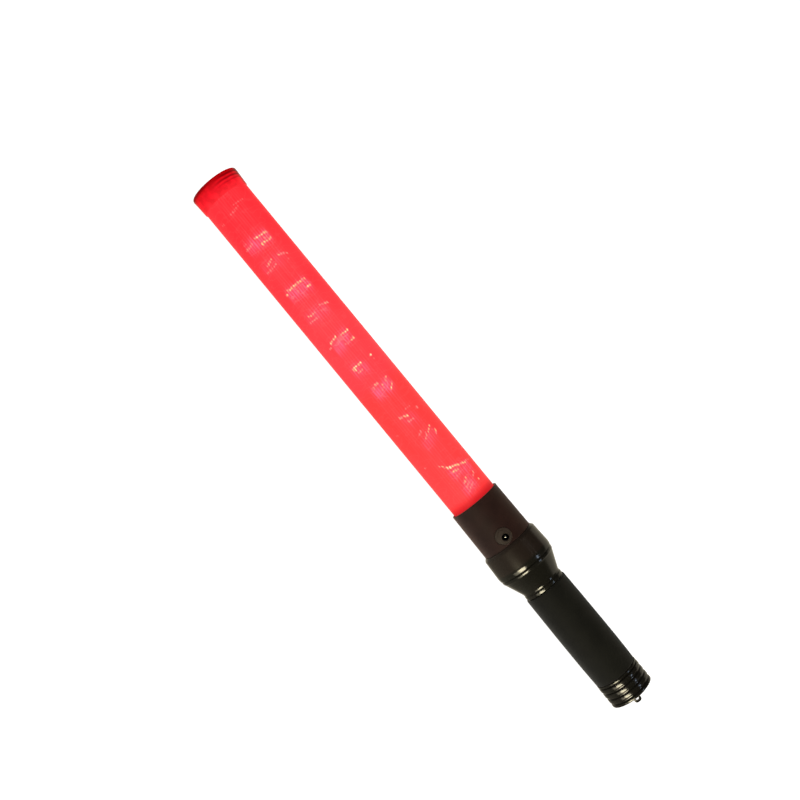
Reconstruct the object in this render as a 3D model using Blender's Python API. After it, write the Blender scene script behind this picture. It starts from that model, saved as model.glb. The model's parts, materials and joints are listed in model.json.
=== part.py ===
"""Hand-held traffic baton light, modelled as the pieces it comes apart into.

The baton lies along world X with its tip at -X and its lanyard eyelet at +X. The origin is on
the surface the baton lies on, half-way along it. Every piece hangs on one empty on the baton's
axis. That empty is rolled about X, so that its own +Z points out through the charging jack and
its own -Z points out through the push button. Lengths are in metres.
"""
import math

import bmesh
import bpy
from mathutils import Matrix, Vector

# Overall layout along the axis
HALF_LENGTH = 0.2700
HEAD_RADIUS = 0.0256
JACK_ROLL = math.radians(45.0)
GAP = 0.0003
SEGMENTS = 32
SMALL_SEGMENTS = 20

# Light tube and its tip cap
TUBE_RADIUS = 0.0203
TUBE_BORE = 0.0188
TUBE_END_X = 0.0825
CAP_MOUTH_X = -0.2541
CAP_END_RADIUS = 0.0218
CAP_MOUTH_RADIUS = 0.0210
CAP_BORE = 0.0199
CAP_END_WALL = 0.0022
CAP_EDGE = 0.0018
CAP_RIB_RADIUS = 0.0155
CAP_RIB_HALF = 0.0005
CAP_RIB_HEIGHT = 0.0014

# LED board inside the tube
BOARD_WIDTH = 0.0140
BOARD_THICKNESS = 0.0016
BOARD_START_X = -0.2632
BOARD_END_X = 0.0790
LED_COUNT = 12
LED_FIRST_X = -0.2430
LED_PITCH = 0.0266
LED_RADIUS = 0.0025
LED_FLANGE_RADIUS = 0.0029
LED_HEIGHT = 0.0087
LED_FLANGE_HEIGHT = 0.0010
LED_SIDES = 10
HOLDER_THICKNESS = 0.0025
TIP_HOLDER_X = -0.2645
BASE_HOLDER_X = 0.0660

# Collar sleeve with the charging jack on one side and the push button on the other
SLEEVE_START_X = 0.0599
SLEEVE_FRONT_RADIUS = 0.0221
SLEEVE_REAR_RADIUS = 0.0226
SLEEVE_SHOULDER_X = 0.1020
SLEEVE_SPIGOT_RADIUS = 0.0220
SLEEVE_END_X = 0.1162
SLEEVE_BORE = 0.0206
SLEEVE_INNER_BORE = 0.0196
SLEEVE_STEP_X = 0.0843
SLEEVE_EDGE = 0.0003
SLEEVE_HOLE_DEPTH = 0.0150
DISH_X = 0.0940
DISH_RADIUS = 0.00715
DISH_FLOOR = 0.0209
DISH_SIDES = 32
BEZEL_THICKNESS = 0.0011
BEZEL_EDGE = 0.0004
JACK_X = 0.0957
JACK_Y = 0.0009
JACK_BORE = 0.00285
JACK_BODY_RADIUS = 0.0040
JACK_BOTTOM = 0.0085
JACK_FLOOR_THICKNESS = 0.0012
JACK_PIN_RADIUS = 0.00105
JACK_PIN_TOP = 0.0206
JACK_PIN_TAPER = 0.0007
JACK_PIN_SIDES = 12
LUG_SPACING = 0.0032
LUG_HALF_THICKNESS = 0.0003
LUG_HALF_WIDTH = 0.0010
LUG_LENGTH = 0.0030
NUT_RADIUS = 0.0060
NUT_LOW = 0.0158
NUT_HIGH = 0.0176
NUT_STEPS = 18
BUTTON_RADIUS = 0.0042
BUTTON_TOP = 0.0229
BUTTON_FLANGE_RADIUS = 0.0053
BUTTON_FLANGE_TOP = 0.0183
BUTTON_BOTTOM = 0.0170
BUTTON_CROWN = 0.0002
BUTTON_EDGE = 0.0007
BUTTON_BEZEL_THICKNESS = 0.00077
BUTTON_BEZEL_EDGE = 0.0003
BUTTON_BEZEL_SIDES = 24
PLUNGER_RADIUS = 0.0020
PLUNGER_BOTTOM = 0.0125
PLUNGER_SIDES = 12

# Control board, behind the button
CONTROL_TOP = 0.0090
CONTROL_START_X = 0.0865
CONTROL_END_X = 0.1064
CONTROL_WIDTH = 0.0260
CHIP_LOW = (0.0900, -0.0035)
CHIP_HIGH = (0.0950, 0.0005)
CHIP_HEIGHT = 0.0016
CAPACITOR_AT = (0.0990, -0.0055)
CAPACITOR_RADIUS = 0.0025
CAPACITOR_HEIGHT = 0.0060
CAPACITOR_SIDES = 12
SWITCH_SIDE = 0.0085
SWITCH_TOP = 0.0150
SWITCH_FLOOR = 0.0012
CUTTER_MARGIN = 0.001

# Front battery carrier and contact
CARRIER_X = 0.1043
CARRIER_FLOOR = 0.0030
CARRIER_RADIUS = 0.0193
RIVET_SHANK_RADIUS = 0.0012
RIVET_HEAD_RADIUS = 0.0050
RIVET_FRONT_X = 0.1032
RIVET_SIDES = 16

# Head ring, handle shell and grip
RING_START_X = 0.1023
RING_BAND_START_X = 0.1048
RING_BAND_RADIUS = 0.0248
RING_BAND_END_X = 0.1218
RING_END_X = 0.1252
RING_END_RADIUS = 0.0250
RING_FRONT_LIP = 0.0005
RING_CROWN = 0.0002
HANDLE_START_X = 0.1186
HANDLE_BEAD_X = 0.1258
HANDLE_BEAD_RADIUS = 0.02485
HANDLE_BEAD_EDGE = 0.0004
CONE_START_X = 0.1287
CONE_START_RADIUS = 0.0241
CONE_END_X = 0.1430
CONE_TOE = 0.0004
CONE_TOE_LENGTH = 0.0015
CONE_INSIDE_START_X = 0.1247
CONE_INSIDE_END_X = 0.1400
NECK_RADIUS = 0.01785
NECK_EDGE_X = 0.1475
NECK_GROOVE_X = 0.1497
NECK_GROOVE_DEPTH = 0.0004
NECK_GROOVE_SLOPE = 0.0005
HANDLE_END_X = 0.2390
BATTERY_BORE = 0.0170
THREAD_BORE = 0.01725
THREAD_BORE_X = 0.2290
THREAD_BORE_SLOPE = 0.0005
GRIP_START_X = 0.1500
GRIP_MIDDLE_X = 0.2100
GRIP_BORE = 0.01815
GRIP_RADIUS = 0.0193
GRIP_FRONT = ((0.0, 0.0008), (0.0010, 0.0005))
GRIP_REAR = ((0.0006, 0.0001), (0.0, 0.0004))

# Battery cells and the contact strip beside them
CELL_RADIUS = 0.0161
CELL_EDGE = 0.0007
CELL_BODY = 0.0595
CELL_NUB_RADIUS = 0.00475
CELL_NUB_HEIGHT = 0.0015
FIRST_CELL_X = 0.1089
STRIP_INNER = 0.0164
STRIP_OUTER = 0.01665
STRIP_HALF_ANGLE = math.radians(7.0)
STRIP_START_X = 0.1022
STRIP_END_X = 0.2312
STRIP_STEPS = 4

# Screwed tail cap with its contact cup, spring and eyelet
TAIL_START_X = 0.2393
TAIL_FACE_X = 0.2615
TAIL_CREST_RADIUS = 0.0193
TAIL_GROOVE_RADIUS = 0.0178
TAIL_BEAD = ((0.0, 0.0005), (0.0006, 0.0002), (0.0012, 0.0003))
TAIL_RIB_HALF_TOP = 0.0011
TAIL_RIB_CROWN = 0.0001
TAIL_RIB_PITCH = 0.0053
TAIL_FIRST_CREST_X = 0.2437
TAIL_RIBS = 4
TAIL_EDGE = 0.0036
SPIGOT_START_X = 0.2322
SPIGOT_RADIUS = 0.0162
SPIGOT_BORE = 0.0139
TAIL_INNER_WALL_X = 0.2571
THREAD_CREST = 0.01690
THREAD_PITCH = 0.0025
THREAD_TURNS = 1.3
THREAD_START_X = 0.2332
THREAD_ROOT = 0.0158
THREAD_HALF_ROOT = 0.0007
THREAD_HALF_CREST = 0.0003
THREAD_STEPS = 24
SEAL_GROOVE_RADIUS = 0.0153
SEAL_WIRE = 0.0006
SEAL_SIDES = 6
SEAL_X = TAIL_START_X - SEAL_WIRE - GAP
EYELET_WIDTH = 0.0064
EYELET_THICKNESS = 0.0024
EYELET_CORNER = 0.0022
EYELET_HOLE_RADIUS = 0.0014
EYELET_HOLE_X = 0.2671
EYELET_ROOT = 0.0010
EYELET_CORNER_STEPS = 4
CONTACT_THICKNESS = 0.0003
SPRING_WIRE = 0.0006
SPRING_TURNS = 5
SPRING_STEPS = 14
SPRING_SIDES = 6
SPRING_FRONT_RADIUS = 0.0060
SPRING_SPREAD = 0.0050
SPRING_CLOSED_SHARE = 0.1

# Insulated leads: the points each one runs through. None stands for the pad on the control board.
LEAD_RADIUS = 0.0006
LEAD_SIDES = 6
LEAD_STEPS = 3
LEAD_PATHS = {
    "led_lead_positive": (
        (0.0793, 0.0030, 0.0),
        (0.0835, 0.0030, -0.0005),
        (0.0880, 0.0040, -0.0040),
        (0.0885, 0.0040, None),
    ),
    "led_lead_negative": (
        (0.0793, -0.0030, 0.0),
        (0.0835, -0.0030, -0.0005),
        (0.0875, -0.0060, -0.0040),
        (0.0880, -0.0060, None),
    ),
    "jack_lead_positive": (
        (0.0941, 0.0009, 0.0049),
        (0.0940, 0.0015, 0.0010),
        (0.0935, 0.0035, -0.0040),
        (0.0935, 0.0035, None),
    ),
    "jack_lead_negative": (
        (0.0973, 0.0009, 0.0049),
        (0.0972, 0.0025, 0.0010),
        (0.0968, 0.0060, -0.0040),
        (0.0968, 0.0060, None),
    ),
    "battery_lead_positive": (
        (0.1028, 0.0, 0.0),
        (0.1012, 0.0, -0.0003),
        (0.1000, 0.0010, -0.0040),
        (0.1000, 0.0010, None),
    ),
    "battery_lead_negative": (
        (0.1018, 0.0164, 0.0),
        (0.1000, 0.0155, -0.0010),
        (0.0985, 0.0110, -0.0045),
        (0.0985, 0.0100, None),
    ),
}

MATERIALS = {
    "red_cap": ((0.55, 0.002, 0.008), 0.18, 0.0),
    "red_tube": ((0.95, 0.03, 0.04), 0.15, 0.0),
    "white_board": ((0.80, 0.80, 0.76), 0.5, 0.0),
    "green_board": ((0.03, 0.20, 0.07), 0.45, 0.0),
    "led_lens": ((0.90, 0.25, 0.20), 0.1, 0.0),
    "chip_black": ((0.02, 0.02, 0.02), 0.5, 0.0),
    "collar_black": ((0.032, 0.024, 0.020), 0.6, 0.0),
    "gloss_black": ((0.028, 0.027, 0.021), 0.3, 0.0),
    "grip_black": ((0.012, 0.012, 0.011), 0.75, 0.0),
    "bezel_grey": ((0.060, 0.052, 0.045), 0.5, 0.0),
    "button_rubber": ((0.045, 0.045, 0.045), 0.7, 0.0),
    "seal_rubber": ((0.015, 0.015, 0.015), 0.8, 0.0),
    "nickel": ((0.70, 0.68, 0.64), 0.25, 1.0),
    "brass": ((0.75, 0.56, 0.26), 0.3, 1.0),
    "spring_steel": ((0.60, 0.60, 0.60), 0.3, 1.0),
    "cell_wrap": ((0.05, 0.17, 0.09), 0.4, 0.0),
    "lead_red": ((0.45, 0.02, 0.02), 0.5, 0.0),
    "lead_black": ((0.02, 0.02, 0.02), 0.5, 0.0),
}


def clear_scene():
    for old in list(bpy.data.objects):
        bpy.data.objects.remove(old, do_unlink=True)


def make_material(name):
    colour, roughness, metallic = MATERIALS[name]
    material = bpy.data.materials.new(name)
    material.use_nodes = True
    shader = material.node_tree.nodes["Principled BSDF"]
    shader.inputs["Base Color"].default_value = (*colour, 1.0)
    shader.inputs["Roughness"].default_value = roughness
    shader.inputs["Metallic"].default_value = metallic
    material.diffuse_color = (*colour, 1.0)
    return material


def make_axis_empty():
    """The empty on the baton's own axis that every piece hangs on."""
    empty = bpy.data.objects.new("baton_axis", None)
    empty.location = (0.0, 0.0, HEAD_RADIUS)
    empty.rotation_euler = (JACK_ROLL, 0.0, 0.0)
    bpy.context.scene.collection.objects.link(empty)
    return empty


def finish_object(name, bm, material, at=(0.0, 0.0, 0.0)):
    """Turn a bmesh in the axis empty's frame into an object whose origin is at the point given."""
    bmesh.ops.translate(bm, verts=bm.verts, vec=-Vector(at))
    bmesh.ops.recalc_face_normals(bm, faces=bm.faces)
    mesh = bpy.data.meshes.new(name)
    bm.to_mesh(mesh)
    bm.free()
    mesh.shade_smooth()
    mesh.set_sharp_from_angle(angle=math.radians(35.0))
    obj = bpy.data.objects.new(name, mesh)
    obj.location = at
    obj.parent = bpy.data.objects["baton_axis"]
    if material:
        mesh.materials.append(bpy.data.materials.get(material) or make_material(material))
    bpy.context.scene.collection.objects.link(obj)
    return obj


def hide_guide(obj):
    obj.hide_render = True
    obj.display_type = "WIRE"
    return obj


def boolean(obj, other, operation):
    modifier = obj.modifiers.new(other.name, "BOOLEAN")
    modifier.operation = operation
    modifier.solver = "EXACT"
    modifier.object = other


def add_turned(bm, profile, segments=SEGMENTS, axis="X", centre=(0.0, 0.0, 0.0)):
    """Revolve an outline of (along, radius) points; a closed outline stays clear of the axis."""
    rings = []
    for along, radius in profile:
        ring = []
        for step in range(segments if radius > 0.0 else 1):
            angle = 2.0 * math.pi * step / segments
            side, up = radius * math.cos(angle), radius * math.sin(angle)
            point = (along, side, up) if axis == "X" else (side, up, along)
            ring.append(bm.verts.new(Vector(point) + Vector(centre)))
        rings.append(ring)
    closed = len(rings[0]) > 1
    for index in range(len(rings) if closed else len(rings) - 1):
        first, second = rings[index], rings[(index + 1) % len(rings)]
        for step in range(segments):
            after = (step + 1) % segments
            corners = [first[step % len(first)], first[after % len(first)]]
            corners += [second[after % len(second)], second[step % len(second)]]
            bm.faces.new(list(dict.fromkeys(corners)))


def turned(name, profile, material, segments=SEGMENTS):
    bm = bmesh.new()
    add_turned(bm, profile, segments)
    return finish_object(name, bm, material)


def add_box(bm, low, high):
    centre = (Vector(low) + Vector(high)) / 2.0
    size = Vector(high) - Vector(low)
    matrix = Matrix.Translation(centre) @ Matrix.Diagonal((*size, 1.0))
    bmesh.ops.create_cube(bm, size=1.0, matrix=matrix)


def box(name, low, high, material=None):
    bm = bmesh.new()
    add_box(bm, low, high)
    return finish_object(name, bm, material)


def post(name, profile, x, y=0.0, segments=SMALL_SEGMENTS, material=None):
    """A piece turned about a line through (x, y) along the roll frame's Z."""
    bm = bmesh.new()
    add_turned(bm, profile, segments, "Z", (x, y, 0.0))
    return finish_object(name, bm, material, (x, y, 0.0))


def plug(name, radius, low, high, x, y=0.0, segments=SMALL_SEGMENTS):
    """A plain round cutter along Z."""
    profile = [(low, 0.0), (low, radius), (high, radius), (high, 0.0)]
    return hide_guide(post(name, profile, x, y, segments))


def add_sweep(bm, points, radius, sides):
    """Carry a round section along a list of points, with flat ends."""
    points = [Vector(point) for point in points]
    side = None
    rings = []
    for index, point in enumerate(points):
        ahead = points[min(index + 1, len(points) - 1)] - points[max(index - 1, 0)]
        ahead.normalize()
        side = ahead.orthogonal() if side is None else side - ahead * side.dot(ahead)
        side.normalize()
        up = ahead.cross(side)
        ring = []
        for step in range(sides):
            angle = 2.0 * math.pi * step / sides
            ring.append(bm.verts.new(point + radius * (side * math.cos(angle) + up * math.sin(angle))))
        rings.append(ring)
    for first, second in zip(rings, rings[1:]):
        for step in range(sides):
            after = (step + 1) % sides
            bm.faces.new((first[step], first[after], second[after], second[step]))
    bm.faces.new(rings[0])
    bm.faces.new(rings[-1])


def smooth_path(knots, per_span=4):
    """Points on a Catmull-Rom curve through the knots."""
    knots = [Vector(knot) for knot in knots]
    padded = [knots[0]] + knots + [knots[-1]]
    path = []
    for before, start, end, after in zip(padded, padded[1:], padded[2:], padded[3:]):
        for step in range(per_span):
            t = step / per_span
            pull = (end - before) * 0.5
            push = (after - start) * 0.5
            path.append(
                start * (2 * t**3 - 3 * t**2 + 1)
                + pull * (t**3 - 2 * t**2 + t)
                + end * (3 * t**2 - 2 * t**3)
                + push * (t**3 - t**2)
            )
    path.append(knots[-1])
    return path


def build_tip_cap():
    """Push-on red cap with one stiffening ring inside its end wall."""
    end = -HALF_LENGTH
    inside = end + CAP_END_WALL
    rib_top = inside + CAP_RIB_HEIGHT
    slope = CAP_EDGE * (1.0 - math.sin(math.radians(45.0)))
    turned("tip_cap", [
        (end, 0.0),
        (end, CAP_END_RADIUS - CAP_EDGE),
        (end + slope, CAP_END_RADIUS - slope),
        (end + CAP_EDGE, CAP_END_RADIUS),
        (CAP_MOUTH_X, CAP_MOUTH_RADIUS),
        (CAP_MOUTH_X, CAP_BORE),
        (inside, CAP_BORE),
        (inside, CAP_RIB_RADIUS + CAP_RIB_HALF),
        (rib_top, CAP_RIB_RADIUS + CAP_RIB_HALF),
        (rib_top, CAP_RIB_RADIUS - CAP_RIB_HALF),
        (inside, CAP_RIB_RADIUS - CAP_RIB_HALF),
        (inside, 0.0),
    ], "red_cap")


def build_light_tube():
    """Red tube, thinned at the tip where the cap pushes on."""
    start = -HALF_LENGTH + CAP_END_WALL + GAP
    shoulder = CAP_MOUTH_X + GAP
    turned("light_tube", [
        (start, TUBE_BORE),
        (start, CAP_BORE - GAP),
        (shoulder, CAP_BORE - GAP),
        (shoulder, TUBE_RADIUS),
        (TUBE_END_X, TUBE_RADIUS),
        (TUBE_END_X, TUBE_BORE),
    ], "red_tube")


def build_leds():
    """Round LEDs along the board, facing the jack's side and the button's side in turn."""
    foot = BOARD_THICKNESS / 2.0 + GAP
    profile = [
        (foot, 0.0),
        (foot, LED_FLANGE_RADIUS),
        (foot + LED_FLANGE_HEIGHT, LED_FLANGE_RADIUS),
        (foot + LED_FLANGE_HEIGHT, LED_RADIUS),
        (foot + LED_HEIGHT - LED_RADIUS, LED_RADIUS),
        (foot + LED_HEIGHT - LED_RADIUS * 0.28, LED_RADIUS * 0.70),
        (foot + LED_HEIGHT, 0.0),
    ]
    for index in range(LED_COUNT):
        facing = 1.0 if index % 2 else -1.0
        outline = [(facing * along, radius) for along, radius in profile]
        x = LED_FIRST_X + LED_PITCH * index
        post(f"led_{index + 1:02d}", outline, x, segments=LED_SIDES, material="led_lens")


def build_led_board():
    half = BOARD_THICKNESS / 2.0
    low = (BOARD_START_X, -BOARD_WIDTH / 2.0, -half)
    high = (BOARD_END_X, BOARD_WIDTH / 2.0, half)
    box("led_board", low, high, "white_board")


def build_board_holder(name, start):
    """Disc that centres the LED board in the tube through a slot."""
    outer = TUBE_BORE - GAP
    disc = turned(name, [
        (start, 0.0),
        (start, outer),
        (start + HOLDER_THICKNESS, outer),
        (start + HOLDER_THICKNESS, 0.0),
    ], "white_board")
    reach = (BOARD_WIDTH / 2.0 + GAP, BOARD_THICKNESS / 2.0 + GAP)
    low = (start - CUTTER_MARGIN, -reach[0], -reach[1])
    slot = box("cutter_" + name, low, (start + HOLDER_THICKNESS + CUTTER_MARGIN, *reach))
    boolean(disc, hide_guide(slot), "DIFFERENCE")


def build_ring(name, start, end, inner, outer, material):
    """A plain flat gasket."""
    turned(name, [(start, inner), (start, outer), (end, outer), (end, inner)], material)


def build_collar_sleeve():
    """Sleeve that takes the tube in front and plugs into the head ring behind."""
    sleeve = turned("collar_sleeve", [
        (SLEEVE_START_X, SLEEVE_BORE),
        (SLEEVE_START_X, SLEEVE_FRONT_RADIUS - SLEEVE_EDGE),
        (SLEEVE_START_X + SLEEVE_EDGE, SLEEVE_FRONT_RADIUS),
        (SLEEVE_SHOULDER_X, SLEEVE_REAR_RADIUS),
        (SLEEVE_SHOULDER_X, SLEEVE_SPIGOT_RADIUS),
        (SLEEVE_END_X, SLEEVE_SPIGOT_RADIUS),
        (SLEEVE_END_X, SLEEVE_INNER_BORE),
        (SLEEVE_STEP_X, SLEEVE_INNER_BORE),
        (SLEEVE_STEP_X, SLEEVE_BORE),
    ], "collar_black")
    outside = HEAD_RADIUS
    jack_hole = JACK_BODY_RADIUS + GAP
    button_hole = BUTTON_RADIUS + GAP
    cutters = (
        plug("cutter_jack_dish", DISH_RADIUS, DISH_FLOOR, outside, DISH_X, segments=DISH_SIDES),
        plug("cutter_button_dish", DISH_RADIUS, -outside, -DISH_FLOOR, DISH_X, segments=DISH_SIDES),
        plug("cutter_jack_hole", jack_hole, SLEEVE_HOLE_DEPTH, outside, JACK_X, JACK_Y),
        plug("cutter_button_hole", button_hole, -outside, -SLEEVE_HOLE_DEPTH, DISH_X),
    )
    for cutter in cutters:
        boolean(sleeve, cutter, "DIFFERENCE")


def build_jack():
    """Charging jack: bezel with an off-centre hole, socket, centre pin, nut and two solder lugs."""
    build_jack_bezel()
    floor = JACK_BOTTOM + JACK_FLOOR_THICKNESS
    post("jack_socket", [
        (JACK_BOTTOM, 0.0),
        (JACK_BOTTOM, JACK_BODY_RADIUS),
        (DISH_FLOOR, JACK_BODY_RADIUS),
        (DISH_FLOOR, JACK_BORE),
        (floor, JACK_BORE),
        (floor, 0.0),
    ], JACK_X, JACK_Y, material="chip_black")
    post("jack_pin", [
        (floor + GAP, 0.0),
        (floor + GAP, JACK_PIN_RADIUS),
        (JACK_PIN_TOP - JACK_PIN_TAPER, JACK_PIN_RADIUS),
        (JACK_PIN_TOP, JACK_PIN_RADIUS * 0.6),
        (JACK_PIN_TOP, 0.0),
    ], JACK_X, JACK_Y, segments=JACK_PIN_SIDES, material="nickel")
    inner = JACK_BODY_RADIUS + GAP
    bm = bmesh.new()
    add_nut(bm, [(NUT_LOW, inner), (NUT_LOW, NUT_RADIUS), (NUT_HIGH, NUT_RADIUS), (NUT_HIGH, inner)])
    finish_object("jack_nut", bm, "nickel", (JACK_X, JACK_Y, 0.0))
    top = JACK_BOTTOM - GAP
    for name, side in (("jack_lug_centre", -0.5), ("jack_lug_sleeve", 0.5)):
        x = JACK_X + side * LUG_SPACING
        low = (x - LUG_HALF_THICKNESS, JACK_Y - LUG_HALF_WIDTH, top - LUG_LENGTH)
        box(name, low, (x + LUG_HALF_THICKNESS, JACK_Y + LUG_HALF_WIDTH, top), "nickel")


def build_jack_bezel():
    low = DISH_FLOOR + GAP
    high = low + BEZEL_THICKNESS
    rim = DISH_RADIUS - GAP
    bezel = post("jack_bezel", [
        (low, 0.0),
        (low, rim),
        (high - BEZEL_EDGE, rim),
        (high, rim - BEZEL_EDGE),
        (high, 0.0),
    ], DISH_X, segments=DISH_SIDES, material="bezel_grey")
    ends = (low - CUTTER_MARGIN, high + CUTTER_MARGIN)
    boolean(bezel, plug("cutter_bezel_hole", JACK_BORE, *ends, JACK_X, JACK_Y), "DIFFERENCE")


def add_nut(bm, outline):
    """A nut whose outer corners come every 60 degrees and whose hole is round."""
    half_side = math.radians(30.0)
    rings = []
    for height, radius in outline:
        ring = []
        for step in range(NUT_STEPS):
            angle = 2.0 * math.pi * step / NUT_STEPS
            reach = radius
            if radius == NUT_RADIUS:
                into_flat = angle % (2.0 * half_side) - half_side
                reach = radius * math.cos(half_side) / math.cos(into_flat)
            point = (JACK_X + reach * math.cos(angle), JACK_Y + reach * math.sin(angle), height)
            ring.append(bm.verts.new(point))
        rings.append(ring)
    for index, first in enumerate(rings):
        second = rings[(index + 1) % len(rings)]
        for step in range(NUT_STEPS):
            after = (step + 1) % NUT_STEPS
            bm.faces.new((first[step], first[after], second[after], second[step]))


def build_button():
    """Push button on the far side of the collar, its bezel, and the switch under it."""
    post("switch_button", [
        (-BUTTON_BOTTOM, 0.0),
        (-BUTTON_BOTTOM, BUTTON_FLANGE_RADIUS),
        (-BUTTON_FLANGE_TOP, BUTTON_FLANGE_RADIUS),
        (-BUTTON_FLANGE_TOP, BUTTON_RADIUS),
        (-BUTTON_TOP + BUTTON_EDGE, BUTTON_RADIUS),
        (-BUTTON_TOP + BUTTON_CROWN, BUTTON_RADIUS * 0.8),
        (-BUTTON_TOP, 0.0),
    ], DISH_X, material="button_rubber")
    low = DISH_FLOOR + GAP
    high = low + BUTTON_BEZEL_THICKNESS
    rim = DISH_RADIUS - GAP
    inner = BUTTON_RADIUS + GAP
    post("button_bezel", [
        (-low, inner),
        (-low, rim),
        (-high + BUTTON_BEZEL_EDGE, rim),
        (-high, rim - BUTTON_BEZEL_EDGE),
        (-high, inner),
    ], DISH_X, segments=BUTTON_BEZEL_SIDES, material="bezel_grey")
    top = BUTTON_BOTTOM - GAP
    post("switch_plunger", [
        (-top, 0.0),
        (-top, PLUNGER_RADIUS),
        (-PLUNGER_BOTTOM, PLUNGER_RADIUS),
        (-PLUNGER_BOTTOM, 0.0),
    ], DISH_X, segments=PLUNGER_SIDES, material="bezel_grey")
    build_switch_housing()


def build_switch_housing():
    half = SWITCH_SIDE / 2.0
    foot = CONTROL_TOP + GAP
    low = (DISH_X - half, -half, -SWITCH_TOP)
    body = box("switch_housing", low, (DISH_X + half, half, -foot), "chip_black")
    ends = (-SWITCH_TOP - CUTTER_MARGIN, -foot - SWITCH_FLOOR)
    boolean(body, plug("cutter_switch_well", PLUNGER_RADIUS + GAP, *ends, DISH_X), "DIFFERENCE")


def build_control_board():
    low = (CONTROL_START_X, -CONTROL_WIDTH / 2.0, -CONTROL_TOP)
    face = -CONTROL_TOP + BOARD_THICKNESS
    box("control_board", low, (CONTROL_END_X, CONTROL_WIDTH / 2.0, face), "green_board")
    foot = face + GAP
    box("charge_chip", (*CHIP_LOW, foot), (*CHIP_HIGH, foot + CHIP_HEIGHT), "chip_black")
    top = foot + CAPACITOR_HEIGHT
    can = [(foot, 0.0), (foot, CAPACITOR_RADIUS), (top, CAPACITOR_RADIUS), (top, 0.0)]
    post("filter_capacitor", can, *CAPACITOR_AT, CAPACITOR_SIDES, "chip_black")


def build_leads():
    """Insulated wires that run inside the collar."""
    pad = -CONTROL_TOP + BOARD_THICKNESS + GAP
    for name, path in LEAD_PATHS.items():
        knots = [(x, y, pad if z is None else z) for x, y, z in path]
        bm = bmesh.new()
        add_sweep(bm, smooth_path(knots, LEAD_STEPS), LEAD_RADIUS, LEAD_SIDES)
        finish_object(name, bm, "lead_black" if name.endswith("negative") else "lead_red")


def build_front_carrier():
    """Cup that holds the front cell, the contact rivet and the end of the control board."""
    rear = CARRIER_X + CARRIER_FLOOR
    hole = RIVET_SHANK_RADIUS + GAP
    carrier = turned("front_carrier", [
        (CARRIER_X, hole),
        (CARRIER_X, CARRIER_RADIUS),
        (SLEEVE_END_X, CARRIER_RADIUS),
        (SLEEVE_END_X, BATTERY_BORE),
        (rear, BATTERY_BORE),
        (rear, hole),
    ], "collar_black")
    half = CONTROL_WIDTH / 2.0 + GAP
    top = -CONTROL_TOP + BOARD_THICKNESS + GAP
    ends = (CARRIER_X - CUTTER_MARGIN, rear + CUTTER_MARGIN)
    low = (ends[0], -half, -CONTROL_TOP - GAP)
    board_slot = box("cutter_board_slot", low, (ends[1], half, top))
    wide = STRIP_OUTER * math.sin(STRIP_HALF_ANGLE) + GAP
    low = (ends[0], STRIP_INNER - CUTTER_MARGIN, -wide)
    strip_slot = box("cutter_strip_slot", low, (ends[1], STRIP_OUTER + GAP, wide))
    for slot in (board_slot, strip_slot):
        boolean(carrier, hide_guide(slot), "DIFFERENCE")
    turned("front_contact", [
        (RIVET_FRONT_X, 0.0),
        (RIVET_FRONT_X, RIVET_SHANK_RADIUS),
        (rear + GAP, RIVET_SHANK_RADIUS),
        (rear + GAP, RIVET_HEAD_RADIUS),
        (FIRST_CELL_X - GAP, RIVET_HEAD_RADIUS),
        (FIRST_CELL_X - GAP, 0.0),
    ], "brass", RIVET_SIDES)


def build_contact_strip():
    """Return strip, a thin curved band that runs beside the cells."""
    bm = bmesh.new()
    rings = []
    for x in (STRIP_START_X, STRIP_END_X):
        ring = []
        for radius in (STRIP_INNER, STRIP_OUTER):
            for step in range(STRIP_STEPS + 1):
                share = step / STRIP_STEPS if radius == STRIP_INNER else 1.0 - step / STRIP_STEPS
                angle = STRIP_HALF_ANGLE * (2.0 * share - 1.0)
                point = (x, radius * math.cos(angle), radius * math.sin(angle))
                ring.append(bm.verts.new(point))
        rings.append(ring)
    count = len(rings[0])
    for step in range(count):
        after = (step + 1) % count
        bm.faces.new((rings[0][step], rings[0][after], rings[1][after], rings[1][step]))
    bm.faces.new(rings[0])
    bm.faces.new(rings[1])
    finish_object("negative_strip", bm, "brass")


def build_cells():
    """Two large round cells in line, positive ends towards the tip."""
    for index, name in enumerate(("cell_front", "cell_rear")):
        start = FIRST_CELL_X + index * (CELL_NUB_HEIGHT + CELL_BODY + GAP)
        shoulder = start + CELL_NUB_HEIGHT
        end = shoulder + CELL_BODY
        turned(name, [
            (start, 0.0),
            (start, CELL_NUB_RADIUS),
            (shoulder, CELL_NUB_RADIUS),
            (shoulder, CELL_RADIUS - CELL_EDGE),
            (shoulder + CELL_EDGE, CELL_RADIUS),
            (end - CELL_EDGE, CELL_RADIUS),
            (end, CELL_RADIUS - CELL_EDGE),
            (end, 0.0),
        ], "cell_wrap")


def build_head_ring():
    """Coupling ring that joins the collar sleeve to the handle."""
    bore = SLEEVE_SPIGOT_RADIUS + GAP
    turned("head_ring", [
        (RING_START_X, bore),
        (RING_START_X, bore + RING_FRONT_LIP),
        (RING_BAND_START_X, RING_BAND_RADIUS),
        (RING_BAND_END_X, HEAD_RADIUS),
        ((RING_BAND_END_X + RING_END_X) / 2.0, HEAD_RADIUS - RING_CROWN),
        (RING_END_X, RING_END_RADIUS),
        (RING_END_X, bore),
    ], "gloss_black")


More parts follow.
